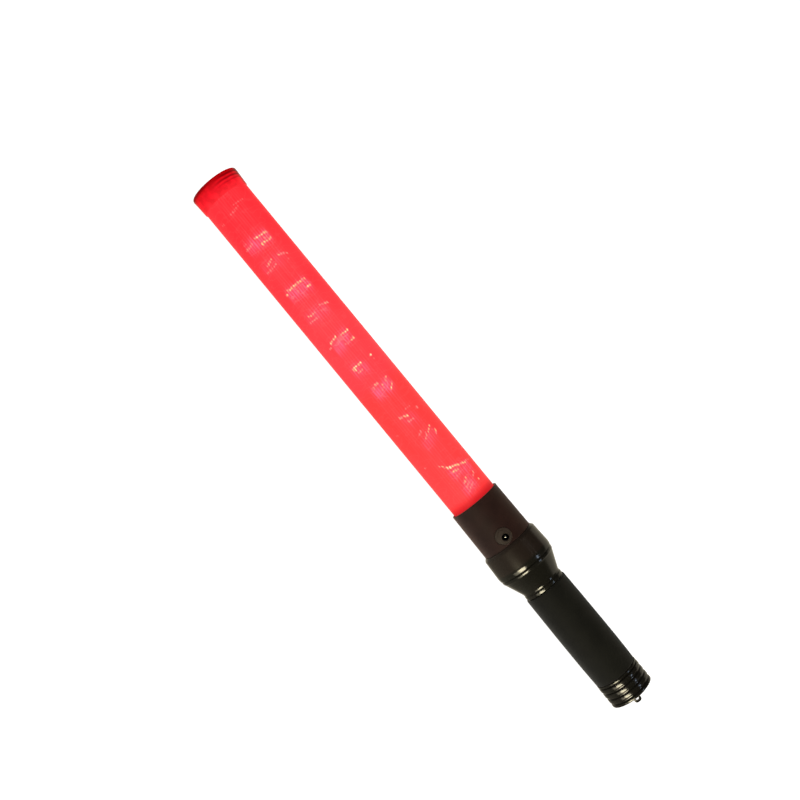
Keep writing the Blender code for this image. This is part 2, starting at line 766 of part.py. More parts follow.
def build_handle_shell():
    """Moulded handle: bead, cone, neck and the thin barrel under the grip."""
    turned("handle_shell", [
        (HANDLE_START_X, SLEEVE_INNER_BORE),
        (HANDLE_START_X, SLEEVE_SPIGOT_RADIUS),
        (RING_END_X + GAP, SLEEVE_SPIGOT_RADIUS),
        (RING_END_X + GAP, HANDLE_BEAD_RADIUS - HANDLE_BEAD_EDGE),
        (HANDLE_BEAD_X, HANDLE_BEAD_RADIUS),
        (CONE_START_X, CONE_START_RADIUS),
        (CONE_END_X, NECK_RADIUS + CONE_TOE),
        (CONE_END_X + CONE_TOE_LENGTH, NECK_RADIUS),
        (NECK_EDGE_X, NECK_RADIUS),
        (NECK_GROOVE_X - NECK_GROOVE_SLOPE, NECK_RADIUS - NECK_GROOVE_DEPTH / 2.0),
        (NECK_GROOVE_X, NECK_RADIUS - NECK_GROOVE_DEPTH),
        (GRIP_START_X, NECK_RADIUS - NECK_GROOVE_DEPTH),
        (GRIP_START_X + NECK_GROOVE_DEPTH, NECK_RADIUS),
        (HANDLE_END_X, NECK_RADIUS),
        (HANDLE_END_X, THREAD_BORE),
        (THREAD_BORE_X, THREAD_BORE),
        (THREAD_BORE_X - THREAD_BORE_SLOPE, BATTERY_BORE),
        (CONE_INSIDE_END_X, BATTERY_BORE),
        (CONE_INSIDE_START_X, SLEEVE_INNER_BORE),
    ], "gloss_black")


def build_grip_sleeve():
    turned("grip_sleeve", [
        (GRIP_START_X, GRIP_BORE),
        *[(GRIP_START_X + along, GRIP_RADIUS - drop) for along, drop in GRIP_FRONT],
        (GRIP_MIDDLE_X, GRIP_RADIUS),
        *[(HANDLE_END_X - along, GRIP_RADIUS - drop) for along, drop in GRIP_REAR],
        (HANDLE_END_X, GRIP_BORE),
    ], "grip_black")


def tail_rib_outline():
    """Rounded gripping ribs along the tail cap, from a thin front bead to the last crest."""
    crest = TAIL_CREST_RADIUS
    flat = crest - TAIL_RIB_CROWN
    outline = [(TAIL_START_X + along, crest - drop) for along, drop in TAIL_BEAD]
    for index in range(TAIL_RIBS):
        x = TAIL_FIRST_CREST_X + TAIL_RIB_PITCH * index
        outline.append((x - TAIL_RIB_PITCH / 2.0, TAIL_GROOVE_RADIUS))
        if index < TAIL_RIBS - 1:
            outline.append((x - TAIL_RIB_HALF_TOP, flat))
            outline.append((x + TAIL_RIB_HALF_TOP, flat))
    outline += [
        (TAIL_FACE_X - TAIL_EDGE, flat),
        (TAIL_FACE_X - TAIL_EDGE * 0.3, crest - TAIL_EDGE * 0.3),
        (TAIL_FACE_X, crest - TAIL_EDGE),
    ]
    return outline


def build_tail_cap():
    """Screw cap with a threaded spigot and a lanyard eyelet moulded on its end."""
    groove_x = SEAL_X - SEAL_WIRE - GAP
    cap = turned("tail_cap", [
        (TAIL_INNER_WALL_X, 0.0),
        (TAIL_INNER_WALL_X, SPIGOT_BORE),
        (SPIGOT_START_X, SPIGOT_BORE),
        (SPIGOT_START_X, SPIGOT_RADIUS),
        (groove_x, SPIGOT_RADIUS),
        (groove_x, SEAL_GROOVE_RADIUS),
        (TAIL_START_X, SEAL_GROOVE_RADIUS),
        *tail_rib_outline(),
        (TAIL_FACE_X, 0.0),
    ], "gloss_black")
    bm = bmesh.new()
    add_eyelet(bm)
    eyelet = hide_guide(finish_object("guide_eyelet", bm, None))
    thickness = EYELET_THICKNESS
    hole = plug("cutter_eyelet_hole", EYELET_HOLE_RADIUS, -thickness, thickness, EYELET_HOLE_X)
    bm = bmesh.new()
    add_thread(bm)
    thread = hide_guide(finish_object("guide_thread", bm, None))
    boolean(cap, thread, "UNION")
    boolean(cap, eyelet, "UNION")
    boolean(cap, hole, "DIFFERENCE")


def add_eyelet(bm):
    """Flat lug with rounded far corners, rooted inside the end wall."""
    root_x = TAIL_FACE_X - EYELET_ROOT
    half = EYELET_WIDTH / 2.0
    straight = half - EYELET_CORNER
    outline = [(root_x, -half)]
    for side in (-1.0, 1.0):
        for step in range(EYELET_CORNER_STEPS + 1):
            share = step / EYELET_CORNER_STEPS
            angle = math.radians(90.0) * (share if side < 0.0 else 1.0 - share)
            x = HALF_LENGTH - EYELET_CORNER + EYELET_CORNER * math.sin(angle)
            y = side * (straight + EYELET_CORNER * math.cos(angle))
            outline.append((x, y))
    outline.append((root_x, half))
    floor = [bm.verts.new((x, y, -EYELET_THICKNESS / 2.0)) for x, y in outline]
    top = [bm.verts.new((x, y, EYELET_THICKNESS / 2.0)) for x, y in outline]
    bm.faces.new(floor)
    bm.faces.new(top)
    for step in range(len(outline)):
        after = (step + 1) % len(outline)
        bm.faces.new((floor[step], floor[after], top[after], top[step]))


def add_thread(bm):
    """Right-handed thread ridge wound on the spigot, with its root sunk into it."""
    section = (
        (-THREAD_HALF_ROOT, THREAD_ROOT),
        (-THREAD_HALF_CREST, THREAD_CREST),
        (THREAD_HALF_CREST, THREAD_CREST),
        (THREAD_HALF_ROOT, THREAD_ROOT),
    )
    rings = []
    for step in range(int(THREAD_STEPS * THREAD_TURNS) + 1):
        angle = 2.0 * math.pi * step / THREAD_STEPS
        x = THREAD_START_X + THREAD_PITCH * step / THREAD_STEPS
        out = Vector((0.0, math.cos(angle), math.sin(angle)))
        ring = [bm.verts.new(Vector((x + along, 0.0, 0.0)) + out * radius) for along, radius in section]
        rings.append(ring)
    for first, second in zip(rings, rings[1:]):
        for step in range(len(section)):
            after = (step + 1) % len(section)
            bm.faces.new((first[step], first[after], second[after], second[step]))
    bm.faces.new(rings[0])
    bm.faces.new(rings[-1])


def build_tail_seal():
    """O-ring in the groove of the spigot."""
    middle = SEAL_GROOVE_RADIUS + GAP + SEAL_WIRE
    profile = []
    for step in range(SEAL_SIDES):
        angle = 2.0 * math.pi * step / SEAL_SIDES
        profile.append((SEAL_X + SEAL_WIRE * math.cos(angle), middle + SEAL_WIRE * math.sin(angle)))
    turned("tail_seal", profile, "seal_rubber")


def build_tail_contact():
    """Pressed cup that lines the spigot; its lip meets the contact strip and its floor the spring."""
    outer = SPIGOT_BORE - GAP
    inner = outer - CONTACT_THICKNESS
    floor = TAIL_INNER_WALL_X - GAP
    lip = SPIGOT_START_X - GAP
    lip_radius = (STRIP_INNER + STRIP_OUTER) / 2.0
    turned("tail_contact", [
        (floor, 0.0),
        (floor, outer),
        (lip, outer),
        (lip, lip_radius),
        (lip - CONTACT_THICKNESS, lip_radius),
        (lip - CONTACT_THICKNESS, inner),
        (floor - CONTACT_THICKNESS, inner),
        (floor - CONTACT_THICKNESS, 0.0),
    ], "nickel")


def build_tail_spring():
    """Cone-shaped spring between the rear cell and the contact cup, with closed ends."""
    cells_end = FIRST_CELL_X + 2.0 * (CELL_NUB_HEIGHT + CELL_BODY) + GAP
    front_x = cells_end + GAP + SPRING_WIRE
    rear_x = TAIL_INNER_WALL_X - GAP - CONTACT_THICKNESS - GAP - SPRING_WIRE
    closed = SPRING_CLOSED_SHARE
    steps = SPRING_STEPS * SPRING_TURNS
    path = []
    for step in range(steps + 1):
        share = step / steps
        angle = 2.0 * math.pi * step / SPRING_STEPS
        radius = SPRING_FRONT_RADIUS + SPRING_SPREAD * share
        rise = min(max((share - closed) / (1.0 - 2.0 * closed), 0.0), 1.0)
        x = front_x + (rear_x - front_x) * (closed * share + (1.0 - closed) * rise)
        path.append((x, radius * math.cos(angle), radius * math.sin(angle)))
    bm = bmesh.new()
    add_sweep(bm, path, SPRING_WIRE, SPRING_SIDES)
    finish_object("tail_spring", bm, "spring_steel")


def main():
    clear_scene()
    make_axis_empty()
    bpy.context.view_layer.update()
    build_tip_cap()
    build_light_tube()
    build_led_board()
    build_leds()
    build_board_holder("board_holder_tip", TIP_HOLDER_X)
    build_board_holder("board_holder_base", BASE_HOLDER_X)
    build_ring("tube_gasket", TUBE_END_X + GAP, SLEEVE_STEP_X - GAP, TUBE_BORE, TUBE_RADIUS, "seal_rubber")
    build_collar_sleeve()
    build_jack()
    build_button()
    build_control_board()
    build_leads()
    build_front_carrier()
    build_contact_strip()
    build_cells()
    gasket_end = HANDLE_START_X - GAP
    gasket_start = SLEEVE_END_X + GAP
    radii = (SLEEVE_INNER_BORE, SLEEVE_SPIGOT_RADIUS)
    build_ring("head_gasket", gasket_start, gasket_end, *radii, "seal_rubber")
    build_head_ring()
    build_handle_shell()
    build_grip_sleeve()
    build_tail_cap()
    build_tail_seal()
    build_tail_contact()
    build_tail_spring()


main()
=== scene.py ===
import json
import math

import bmesh
import bpy
from mathutils import Matrix, Vector

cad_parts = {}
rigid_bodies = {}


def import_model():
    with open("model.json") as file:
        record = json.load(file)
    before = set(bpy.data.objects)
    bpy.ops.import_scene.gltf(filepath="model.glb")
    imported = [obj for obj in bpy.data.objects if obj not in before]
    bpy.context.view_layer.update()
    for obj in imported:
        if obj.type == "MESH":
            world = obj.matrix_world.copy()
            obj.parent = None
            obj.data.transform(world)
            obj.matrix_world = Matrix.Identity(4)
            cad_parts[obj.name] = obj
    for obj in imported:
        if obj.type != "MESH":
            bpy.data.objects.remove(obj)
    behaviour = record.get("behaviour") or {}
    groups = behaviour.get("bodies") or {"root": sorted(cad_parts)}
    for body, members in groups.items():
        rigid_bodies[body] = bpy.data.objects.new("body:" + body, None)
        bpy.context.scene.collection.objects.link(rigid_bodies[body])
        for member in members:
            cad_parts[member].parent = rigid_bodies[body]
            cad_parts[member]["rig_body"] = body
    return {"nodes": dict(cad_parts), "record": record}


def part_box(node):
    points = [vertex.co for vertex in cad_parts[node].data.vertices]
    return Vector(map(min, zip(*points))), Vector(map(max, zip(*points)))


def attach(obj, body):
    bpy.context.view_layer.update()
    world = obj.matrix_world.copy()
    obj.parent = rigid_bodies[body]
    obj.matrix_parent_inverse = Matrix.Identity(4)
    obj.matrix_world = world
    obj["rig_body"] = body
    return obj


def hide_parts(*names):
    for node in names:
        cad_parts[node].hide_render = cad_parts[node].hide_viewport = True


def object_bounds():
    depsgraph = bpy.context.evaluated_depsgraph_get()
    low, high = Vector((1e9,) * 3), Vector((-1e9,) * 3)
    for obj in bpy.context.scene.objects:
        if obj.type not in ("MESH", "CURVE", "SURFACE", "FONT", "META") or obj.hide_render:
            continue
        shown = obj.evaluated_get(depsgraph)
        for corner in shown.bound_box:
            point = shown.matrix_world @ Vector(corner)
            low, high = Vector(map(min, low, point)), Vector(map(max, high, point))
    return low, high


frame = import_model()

cad_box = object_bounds()

JACK_ROLL = math.radians(45.0)
AXIS_HEIGHT = (cad_box[0].z + cad_box[1].z) / 2.0
ROLL_FRAME = Matrix.Translation((0.0, 0.0, AXIS_HEIGHT)) @ Matrix.Rotation(JACK_ROLL, 4, "X")
SMOOTH_ANGLE = math.radians(38.0)

# Fineness of round shapes, and the usual fillets of the mouldings' edges
ROUND_STEPS = 144
SLEEVE_STEPS = 192
BEZEL_STEPS = 96
DISH_STEPS = 72
JACK_STEPS = 64
HOLE_STEPS = 48
PIN_STEPS = 32
ARC_STEP = math.radians(14.0)
FINE_ARC_STEP = math.radians(6.0)
FILLET_SHARE = 0.48
SHARP_EDGE = 0.0001
EDGE = 0.0002
MILD_EDGE = 0.0003
SOFT_EDGE = 0.0004

# Camera, square to the baton on the jack's side; its lens and sensor are in millimetres
CAMERA_DISTANCE = 0.888
CAMERA_LENS = 49.5
CAMERA_SENSOR = 36.0
CAMERA_REACH = 20.0
CAMERA_ALONG = -0.0405
CAMERA_ACROSS = 0.0054
CAMERA_TURN = math.radians(50.5)

# Softboxes: name, place in the rolled frame, size across and along the baton, watts, colour, and
# whether glossy surfaces mirror it
SOFTBOXES = (
    ("warm_key", (0.62, -0.60, 1.17), (0.78, 0.26), 13.0, (1.0, 0.90, 0.62), True),
    ("key_tail", (0.62, -1.02, 0.82), (0.60, 0.26), 1.3, (1.0, 0.91, 0.66), True),
    ("cool_spot", (0.62, 1.00, 0.83), (0.15, 0.15), 0.5, (0.66, 0.80, 1.0), True),
    ("soft_fill", (-0.60, -0.30, 1.60), (1.40, 1.40), 6.0, (1.0, 0.97, 0.94), False),
    ("side_fill", (0.10, 1.07, 0.90), (0.50, 0.50), 10.0, (1.0, 0.93, 0.86), False),
)

# Studio: how the light of the room and of the backdrop changes with the direction it comes from.
# Each row is a coordinate of the direction, its start and end, and the light at those two.
STUDIO_TINT = (1.0, 0.91, 0.70, 1.0)
ROOM_BY_HEIGHT = ("Z", -1.0, 0.55, 0.24, 0.02)
BACKDROP_BY_HEIGHT = ("Z", 0.45, 0.55, 0.50, 0.0)
BACKDROP_BY_DEPTH = ("Y", 0.0, 0.5, 0.0, 1.0)
BACKDROP_BY_LENGTH = ("X", -0.55, -0.15, 0.0, 1.0)
WHITE = (1.0, 1.0, 1.0, 1.0)
PALE = 0.98
FLOOR_HALF = 6.0
FLOOR_GREY = (0.35, 0.35, 0.35, 1.0)
FLOOR_ROUGHNESS = 0.9

# Light tube and tip cap
TUBE_RADIUS = 0.0203
TUBE_THIN_RADIUS = 0.0196
TUBE_WALL_INSIDE = 0.0189
FLUTE_COUNT = 58
FLUTE_DEPTH = 0.00025
CAP_END_RADIUS = 0.0218
CAP_MOUTH_RADIUS = 0.0210
CAP_BORE = 0.0199
CAP_WALL = 0.0022
CAP_CROWN = 0.0002
CAP_RIB_RADIUS = 0.0155
CAP_RIB_HALF = 0.0005
CAP_RIB_HEIGHT = 0.0014

# Collar sleeve, its jack and its button
SLEEVE_FRONT_RADIUS = 0.0221
SLEEVE_REAR_RADIUS = 0.0226
SLEEVE_SPIGOT_RADIUS = 0.0220
SLEEVE_SHOULDER = 0.1020
SLEEVE_STEP = 0.0843
SLEEVE_BORE = 0.0206
SLEEVE_INNER_BORE = 0.0196
SLEEVE_ROWS = 14
DISH_RADIUS = 0.00715
DISH_FLOOR = 0.0209
BORE_FLOOR = 0.0150
BEZEL_STEP = 0.00035
BEZEL_LIP = 0.0016
BEZEL_CHAMFER = 0.0005
BEZEL_FLARE = 0.0007
BEZEL_MARGIN = 0.001
JACK_FLOOR = 0.0012
JACK_BODY_RADIUS = 0.0040
JACK_BORE = 0.00285
JACK_PIN_RADIUS = 0.00105
BUTTON_RADIUS = 0.0042
BUTTON_FLANGE_RADIUS = 0.0053
BUTTON_FLANGE_TOP = 0.0183
GAP = 0.0003

# Head ring, handle, grip and tail cap
RING_BORE = 0.0223
RING_BAND_START = 0.1048
RING_BAND_RADIUS = 0.0248
RING_BAND_END = 0.1220
RING_REAR_RADIUS = 0.0253
HANDLE_BEAD_START = 0.1265
HANDLE_BEAD_RADIUS = 0.0250
CONE_START = 0.1286
CONE_START_RADIUS = 0.0243
CONE_END = 0.1443
NECK_RADIUS = 0.01785
NECK_LAND_END = 0.1456
NECK_GROOVE = 0.1462
NECK_BEAD_START = 0.1468
NECK_BEAD_END = 0.1494
NECK_BEAD_RADIUS = 0.0181
BATTERY_BORE = 0.0170
THREAD_BORE = 0.01725
THREAD_START = 0.2290
GRIP_BORE = 0.01815
GRIP_RADIUS = 0.0193
GRIP_MIDDLE = 0.2100
GRIP_CROWN = 0.00045
GRIP_LIP = 0.0009
GRIP_LEAD_IN = 0.0008
GRIP_LEAD_OUT = 0.0006
GRIP_GRAIN = 0.0014
GRIP_GRAIN_DEPTH = 0.00011
GRIP_ROWS = 170
GRIP_STEPS = 250
TAIL_CREST_RADIUS = 0.0193
TAIL_GROOVE_RADIUS = 0.0177
TAIL_LAND_HALF = 0.0014
TAIL_FIRST_CREST = 0.2437
TAIL_RIB_PITCH = 0.0053
TAIL_RIBS = 4
TAIL_FACE = 0.2615
SPIGOT_RADIUS = 0.0162
SPIGOT_BORE = 0.0139
SEAL_GROOVE_RADIUS = 0.0153
SEAL_WIRE = 0.0006
SEAL_STEPS = 16
THREAD_CREST = 0.0169
THREAD_SINK = 0.0004
THREAD_LEAD_IN = 0.0010
THREAD_PITCH = 0.0025
THREAD_TURNS = 1.3
THREAD_STEPS = 72
EYELET_WIDTH = 0.0064
EYELET_THICKNESS = 0.0024
EYELET_CORNER = 0.0024
EYELET_HOLE_RADIUS = 0.0014
EYELET_HOLE = 0.2671


def roll_box(node):
    """Lowest and highest corner of a node in the rolled frame."""
    into_roll = ROLL_FRAME.inverted()
    points = [into_roll @ vertex.co for vertex in frame["nodes"][node].data.vertices]
    low = Vector([min(point[axis] for point in points) for axis in range(3)])
    high = Vector([max(point[axis] for point in points) for axis in range(3)])
    return low, high


def middle_of(node):
    """Where the axis of a jack or button piece meets the baton, as (along, across)."""
    low, high = roll_box(node)
    return ((low.x + high.x) / 2.0, (low.y + high.y) / 2.0)


POSTS = {node: middle_of(node) for node in ("jack_bezel", "jack_socket", "switch_button")}


# ------------------------ shapes

def rounded(corners, arc_step=ARC_STEP):
    """An outline whose corners (along, radius, fillet) are turned into arcs; two numbers stay sharp."""
    outline = []
    for index, corner in enumerate(corners):
        point = Vector(corner[:2])
        fillet = corner[2] if len(corner) > 2 else 0.0
        if not fillet:
            outline.append(tuple(point))
            continue
        back = Vector(corners[index - 1][:2]) - point
        ahead = Vector(corners[(index + 1) % len(corners)][:2]) - point
        room = FILLET_SHARE * min(back.length, ahead.length)
        back.normalize()
        ahead.normalize()
        half = back.angle(ahead) / 2.0
        reach = min(fillet / math.tan(half), room)
        radius = reach * math.tan(half)
        centre = point + (back + ahead).normalized() * (radius / math.sin(half))
        start, end = point + back * reach - centre, point + ahead * reach - centre
        turn = start.angle_signed(end)
        steps = max(2, math.ceil(abs(turn) / arc_step))
        for step in range(steps + 1):
            swung = start.copy()
            swung.rotate(Matrix.Rotation(-turn * step / steps, 2))
            outline.append(tuple(centre + swung))
    return outline


def make_piece(name, bm, place=ROLL_FRAME):
    """Make an object of a bmesh that is drawn in the rolled frame."""
    bmesh.ops.recalc_face_normals(bm, faces=bm.faces)
    mesh = bpy.data.meshes.new(name)
    bm.to_mesh(mesh)
    bm.free()
    mesh.transform(place)
    shade(mesh)
    piece = bpy.data.objects.new(name, mesh)
    bpy.context.scene.collection.objects.link(piece)
    return piece


def shade(mesh):
    """Smooth everywhere except along the sharp edges."""
    mesh.shade_smooth()
    mesh.set_sharp_from_angle(angle=SMOOTH_ANGLE)


def turned(name, outline, steps=ROUND_STEPS, post=None, ripple=None):
    """Revolve an outline about the baton's axis, or about a post through (along, across).

    An outline about a post runs along the rolled Z. ripple(along, radius, angle) may give each
    point its own radius.
    """
    bm = bmesh.new()
    rings = []
    for along, radius in outline:
        ring = []
        for step in range(steps if radius > 0.0 else 1):
            angle = 2.0 * math.pi * step / steps
            reach = ripple(along, radius, angle) if ripple else radius
            side, up = reach * math.cos(angle), reach * math.sin(angle)
            point = (post[0] + side, post[1] + up, along) if post else (along, side, up)
            ring.append(bm.verts.new(point))
        rings.append(ring)
    closed = outline[0][1] > 0.0
    for index in range(len(rings) if closed else len(rings) - 1):
        first, second = rings[index], rings[(index + 1) % len(rings)]
        for step in range(steps):
            after = (step + 1) % steps
            corners = [first[step % len(first)], first[after % len(first)]]
            corners += [second[after % len(second)], second[step % len(second)]]
            bm.faces.new(list(dict.fromkeys(corners)))
    return make_piece(name, bm)


def combine(piece, other, operation="DIFFERENCE"):
    """Cut another shape out of a piece, or join it on, and use that shape up."""
    modifier = piece.modifiers.new("combine", "BOOLEAN")
    modifier.operation = operation
    modifier.solver = "EXACT"
    modifier.object = other
    evaluated = piece.evaluated_get(bpy.context.evaluated_depsgraph_get())
    mesh = bpy.data.meshes.new_from_object(evaluated)
    piece.modifiers.clear()
    piece.data = mesh
    shade(mesh)
    bpy.data.objects.remove(other)


def stands_for(piece, node, material):
    """Give a piece its finish, and let it ride in place of a node of the frame."""
    piece.data.materials.clear()
    piece.data.materials.append(material)
    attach(piece, frame["nodes"][node]["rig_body"])
    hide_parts(node)
    return piece


# ------------------------ materials

class Nodes:
    """A node tree that is built up value by value."""

    def __init__(self, tree):
        self.tree = tree

    def add(self, kind, **settings):
        node = self.tree.nodes.new(kind)
        for setting, value in settings.items():
            setattr(node, setting, value)
        return node

    def put(self, socket, value):
        if isinstance(value, bpy.types.NodeSocket):
            self.tree.links.new(value, socket)
        else:
            socket.default_value = value

    def feed(self, node, *values):
        """Link or set a node's inputs in order, and return its first output."""
        for socket, value in zip(node.inputs, values):
            self.put(socket, value)
        return node.outputs[0]

    def calc(self, operation, *values):
        return self.feed(self.add("ShaderNodeMath", operation=operation), *values)

    def product(self, first, *others):
        for other in others:
            first = self.calc("MULTIPLY", first, other)
        return first

    def ranged(self, value, low, high, out_low=0.0, out_high=1.0, kind="SMOOTHSTEP"):
        node = self.add("ShaderNodeMapRange", interpolation_type=kind)
        return self.feed(node, value, low, high, out_low, out_high)


class Finish(Nodes):
    """One material, whose patterns lie in the rolled frame."""

    def __init__(self, name, roughness=0.5, metallic=0.0):
        self.material = bpy.data.materials.new(name)
        self.material.use_nodes = True
        super().__init__(self.material.node_tree)
        self.shader = self.tree.nodes["Principled BSDF"]
        self.set("Roughness", roughness)
        self.set("Metallic", metallic)
        object_place = self.add("ShaderNodeTexCoord").outputs["Object"]
        into_roll = self.add("ShaderNodeMapping", vector_type="TEXTURE")
        into_roll.inputs["Location"].default_value = (0.0, 0.0, AXIS_HEIGHT)
        into_roll.inputs["Rotation"].default_value = (JACK_ROLL, 0.0, 0.0)
        self.place = self.feed(into_roll, object_place)
        split = self.add("ShaderNodeSeparateXYZ")
        self.feed(split, self.place)
        self.along, self.across, self.out = split.outputs

    def noise(self, grain, detail=2.0, stretch=(1.0, 1.0, 1.0)):
        """Noise whose blobs are about as large as grain, from 0 to 1."""
        stretched = self.add("ShaderNodeVectorMath", operation="MULTIPLY")
        place = self.feed(stretched, self.place, stretch)
        node = self.add("ShaderNodeTexNoise")
        node.inputs["Scale"].default_value = 1.0 / grain
        node.inputs["Detail"].default_value = detail
        self.put(node.inputs["Vector"], place)
        return node.outputs["Fac"]

    def mixed(self, factor, first, second, blend="MIX"):
        node = self.add("ShaderNodeMix", data_type="RGBA", blend_type=blend)
        self.put(node.inputs["Factor"], factor)
        for socket, colour in ((node.inputs["A"], first), (node.inputs["B"], second)):
            self.put(self.colour_socket(node, socket.name), colour)
        return self.colour_socket(node, "Result", outputs=True)

    @staticmethod
    def colour_socket(node, name, outputs=False):
        sockets = node.outputs if outputs else node.inputs
        return next(s for s in sockets if s.name == name and s.type == "RGBA")

    def set(self, socket, value):
        self.put(self.shader.inputs[socket], value)

    def bumps(self, *heights):
        """Stack (height from 0 to 1, depth in metres) pairs into the surface's normal."""
        normal = None
        for height, depth in heights:
            node = self.add("ShaderNodeBump")
            node.inputs["Distance"].default_value = depth
            self.put(node.inputs["Height"], height)
            if normal:
                self.put(node.inputs["Normal"], normal)
            normal = node.outputs["Normal"]
        self.set("Normal", normal)


def rgb(red, green, blue):
    return (red, green, blue, 1.0)


GLOSS_DARK = rgb(0.0068, 0.0066, 0.0050)
GLOSS_LIGHT = rgb(0.0092, 0.0088, 0.0068)
GLOSS_BAND = rgb(0.0155, 0.0112, 0.0088)
GLOSS_ROUGH = (0.17, 0.21)
GLOSS_FADE = 0.0030
TRACK_WIDTH = 0.0012
TRACK_HEIGHT = 0.00003


def moulded(name, dark, light, rough, grain, depth, blotch, settings=None, metallic=0.0):
    """A moulded or drawn surface: blotchy colour, uneven polish and a fine grain."""
    finish = Finish(name, metallic=metallic)
    patches = finish.noise(blotch)
    fine = finish.noise(grain, detail=4.0)
    finish.set("Base Color", finish.mixed(finish.ranged(patches, 0.3, 0.7), dark, light))
    finish.set("Roughness", finish.ranged(patches, 0.25, 0.75, *rough))
    finish.bumps((fine, depth))
    for socket, value in (settings or {}).items():
        finish.set(socket, value)
    return finish


def metal(name, dark, light, rough, stretch):
    """Drawn or plated metal, with fine scratches along the stretched direction."""
    finish = moulded(name, dark, light, rough, 0.0008, 0.000005, 0.003, metallic=1.0)
    scratches = finish.noise(0.0003, detail=3.0, stretch=stretch)
    finish.set("Roughness", finish.ranged(scratches, 0.3, 0.7, *rough))
    return finish.material


def circuit_board(name, dark, light):
    """Solder-masked board: broad tracks under the mask show as faint stripes."""
    finish = moulded(name, dark, light, (0.32, 0.42), 0.0004, 0.000006, 0.006)
    tracks = finish.calc("PINGPONG", finish.across, TRACK_WIDTH)
    finish.bumps((finish.ranged(tracks, TRACK_WIDTH / 3.0, TRACK_WIDTH / 2.0), TRACK_HEIGHT))
    return finish.material


def gloss_plastic():
    """Glossy black, a little browner and duller on the head ring's band."""
    finish = Finish("gloss_plastic")
    band = finish.ranged(finish.along, RING_BAND_END, RING_BAND_END - GLOSS_FADE)
    black = finish.mixed(finish.noise(0.012), GLOSS_DARK, GLOSS_LIGHT)
    finish.set("Base Color", finish.mixed(band, black, GLOSS_BAND))
    finish.set("Roughness", finish.ranged(band, 0.0, 1.0, *GLOSS_ROUGH))
    finish.bumps((finish.noise(0.0009, detail=4.0), 0.000006))
    return finish.material


# Plain finishes by slot: name, its darker and lighter colour, the roughness of the two, the size and
# depth of its grain, the size of its blotches, and other settings of the shader
PLAIN_FINISHES = {
    "collar_black": (
        "sleeve_plastic", rgb(0.012, 0.0046, 0.0040), rgb(0.017, 0.0068, 0.0058),
        (0.56, 0.66), 0.0006, 0.00004, 0.012,
        {"Specular IOR Level": 0.12, "Sheen Weight": 0.22, "Sheen Tint": rgb(1.0, 0.72, 0.62)},
    ),
    "grip_black": (
        "grip_rubber", rgb(0.0031, 0.0033, 0.0024), rgb(0.0053, 0.0055, 0.0041),
        (0.70, 0.80), 0.0005, 0.00005, 0.012, {"Specular IOR Level": 0.12, "Sheen Weight": 0.14},
    ),
    "bezel_grey": (
        "bezel_plastic", rgb(0.022, 0.015, 0.012), rgb(0.028, 0.0195, 0.016),
        (0.42, 0.52), 0.0005, 0.00002, 0.004, {"Specular IOR Level": 0.22},
    ),
    "button_rubber": (
        "button_rubber", rgb(0.030, 0.030, 0.031), rgb(0.045, 0.045, 0.046),
        (0.62, 0.76), 0.0004, 0.00003, 0.003, {"Sheen Weight": 0.15},
    ),
    "seal_rubber": (
        "seal_rubber", rgb(0.010, 0.010, 0.010), rgb(0.018, 0.018, 0.018),
        (0.62, 0.76), 0.0004, 0.00003, 0.003, {"Sheen Weight": 0.15},
    ),
    "chip_black": (
        "chip_epoxy", rgb(0.014, 0.014, 0.015), rgb(0.022, 0.022, 0.023),
        (0.42, 0.55), 0.0003, 0.00001, 0.002,
    ),
    "cell_can": (
        "cell_wrap", rgb(0.030, 0.130, 0.060), rgb(0.045, 0.165, 0.080),
        (0.25, 0.35), 0.0006, 0.00001, 0.012,
    ),
    "lead_red": (
        "red_wire", rgb(0.38, 0.015, 0.012), rgb(0.52, 0.03, 0.02),
        (0.35, 0.45), 0.0004, 0.000008, 0.002,
    ),
    "lead_black": (
        "black_wire", rgb(0.012, 0.012, 0.012), rgb(0.022, 0.022, 0.022),
        (0.35, 0.45), 0.0004, 0.000008, 0.002,
    ),
    "led_lens": (
        "led_epoxy", rgb(0.85, 0.20, 0.15), rgb(0.95, 0.30, 0.22),
        (0.08, 0.14), 0.0008, 0.000004, 0.002,
        {"Emission Color": rgb(1.0, 0.25, 0.12), "Emission Strength": 2.0},
    ),
}

# Metals by slot: name, its darker and lighter colour, roughness, and how the scratches are stretched
METALS = {
    "nickel": ("nickel_plate", rgb(0.62, 0.60, 0.56), rgb(0.74, 0.72, 0.68),
               (0.18, 0.34), (0.1, 1.0, 1.0)),
    "brass": ("brass", rgb(0.66, 0.46, 0.18), rgb(0.80, 0.60, 0.28),
              (0.22, 0.38), (0.1, 1.0, 1.0)),
    "spring_steel": ("spring_steel", rgb(0.50, 0.50, 0.50), rgb(0.64, 0.64, 0.64),
                     (0.24, 0.40), (1.0, 0.2, 0.2)),
}

# Circuit boards by slot: name and the darker and lighter colour of the mask
BOARDS = {
    "board_white": ("white_mask", rgb(0.70, 0.70, 0.66), rgb(0.80, 0.80, 0.77)),
    "board_green": ("green_mask", rgb(0.02, 0.15, 0.05), rgb(0.03, 0.21, 0.08)),
}


def make_materials():
    """The material of every slot, apart from the glowing tube and cap."""
    materials = {slot: moulded(*row).material for slot, row in PLAIN_FINISHES.items()}
    materials.update({slot: metal(*row) for slot, row in METALS.items()})
    materials.update({slot: circuit_board(*row) for slot, row in BOARDS.items()})
    materials["gloss_black"] = gloss_plastic()
    return materials


# ------------------------ glowing plastic

MM = 0.001
LAST_LED = 11

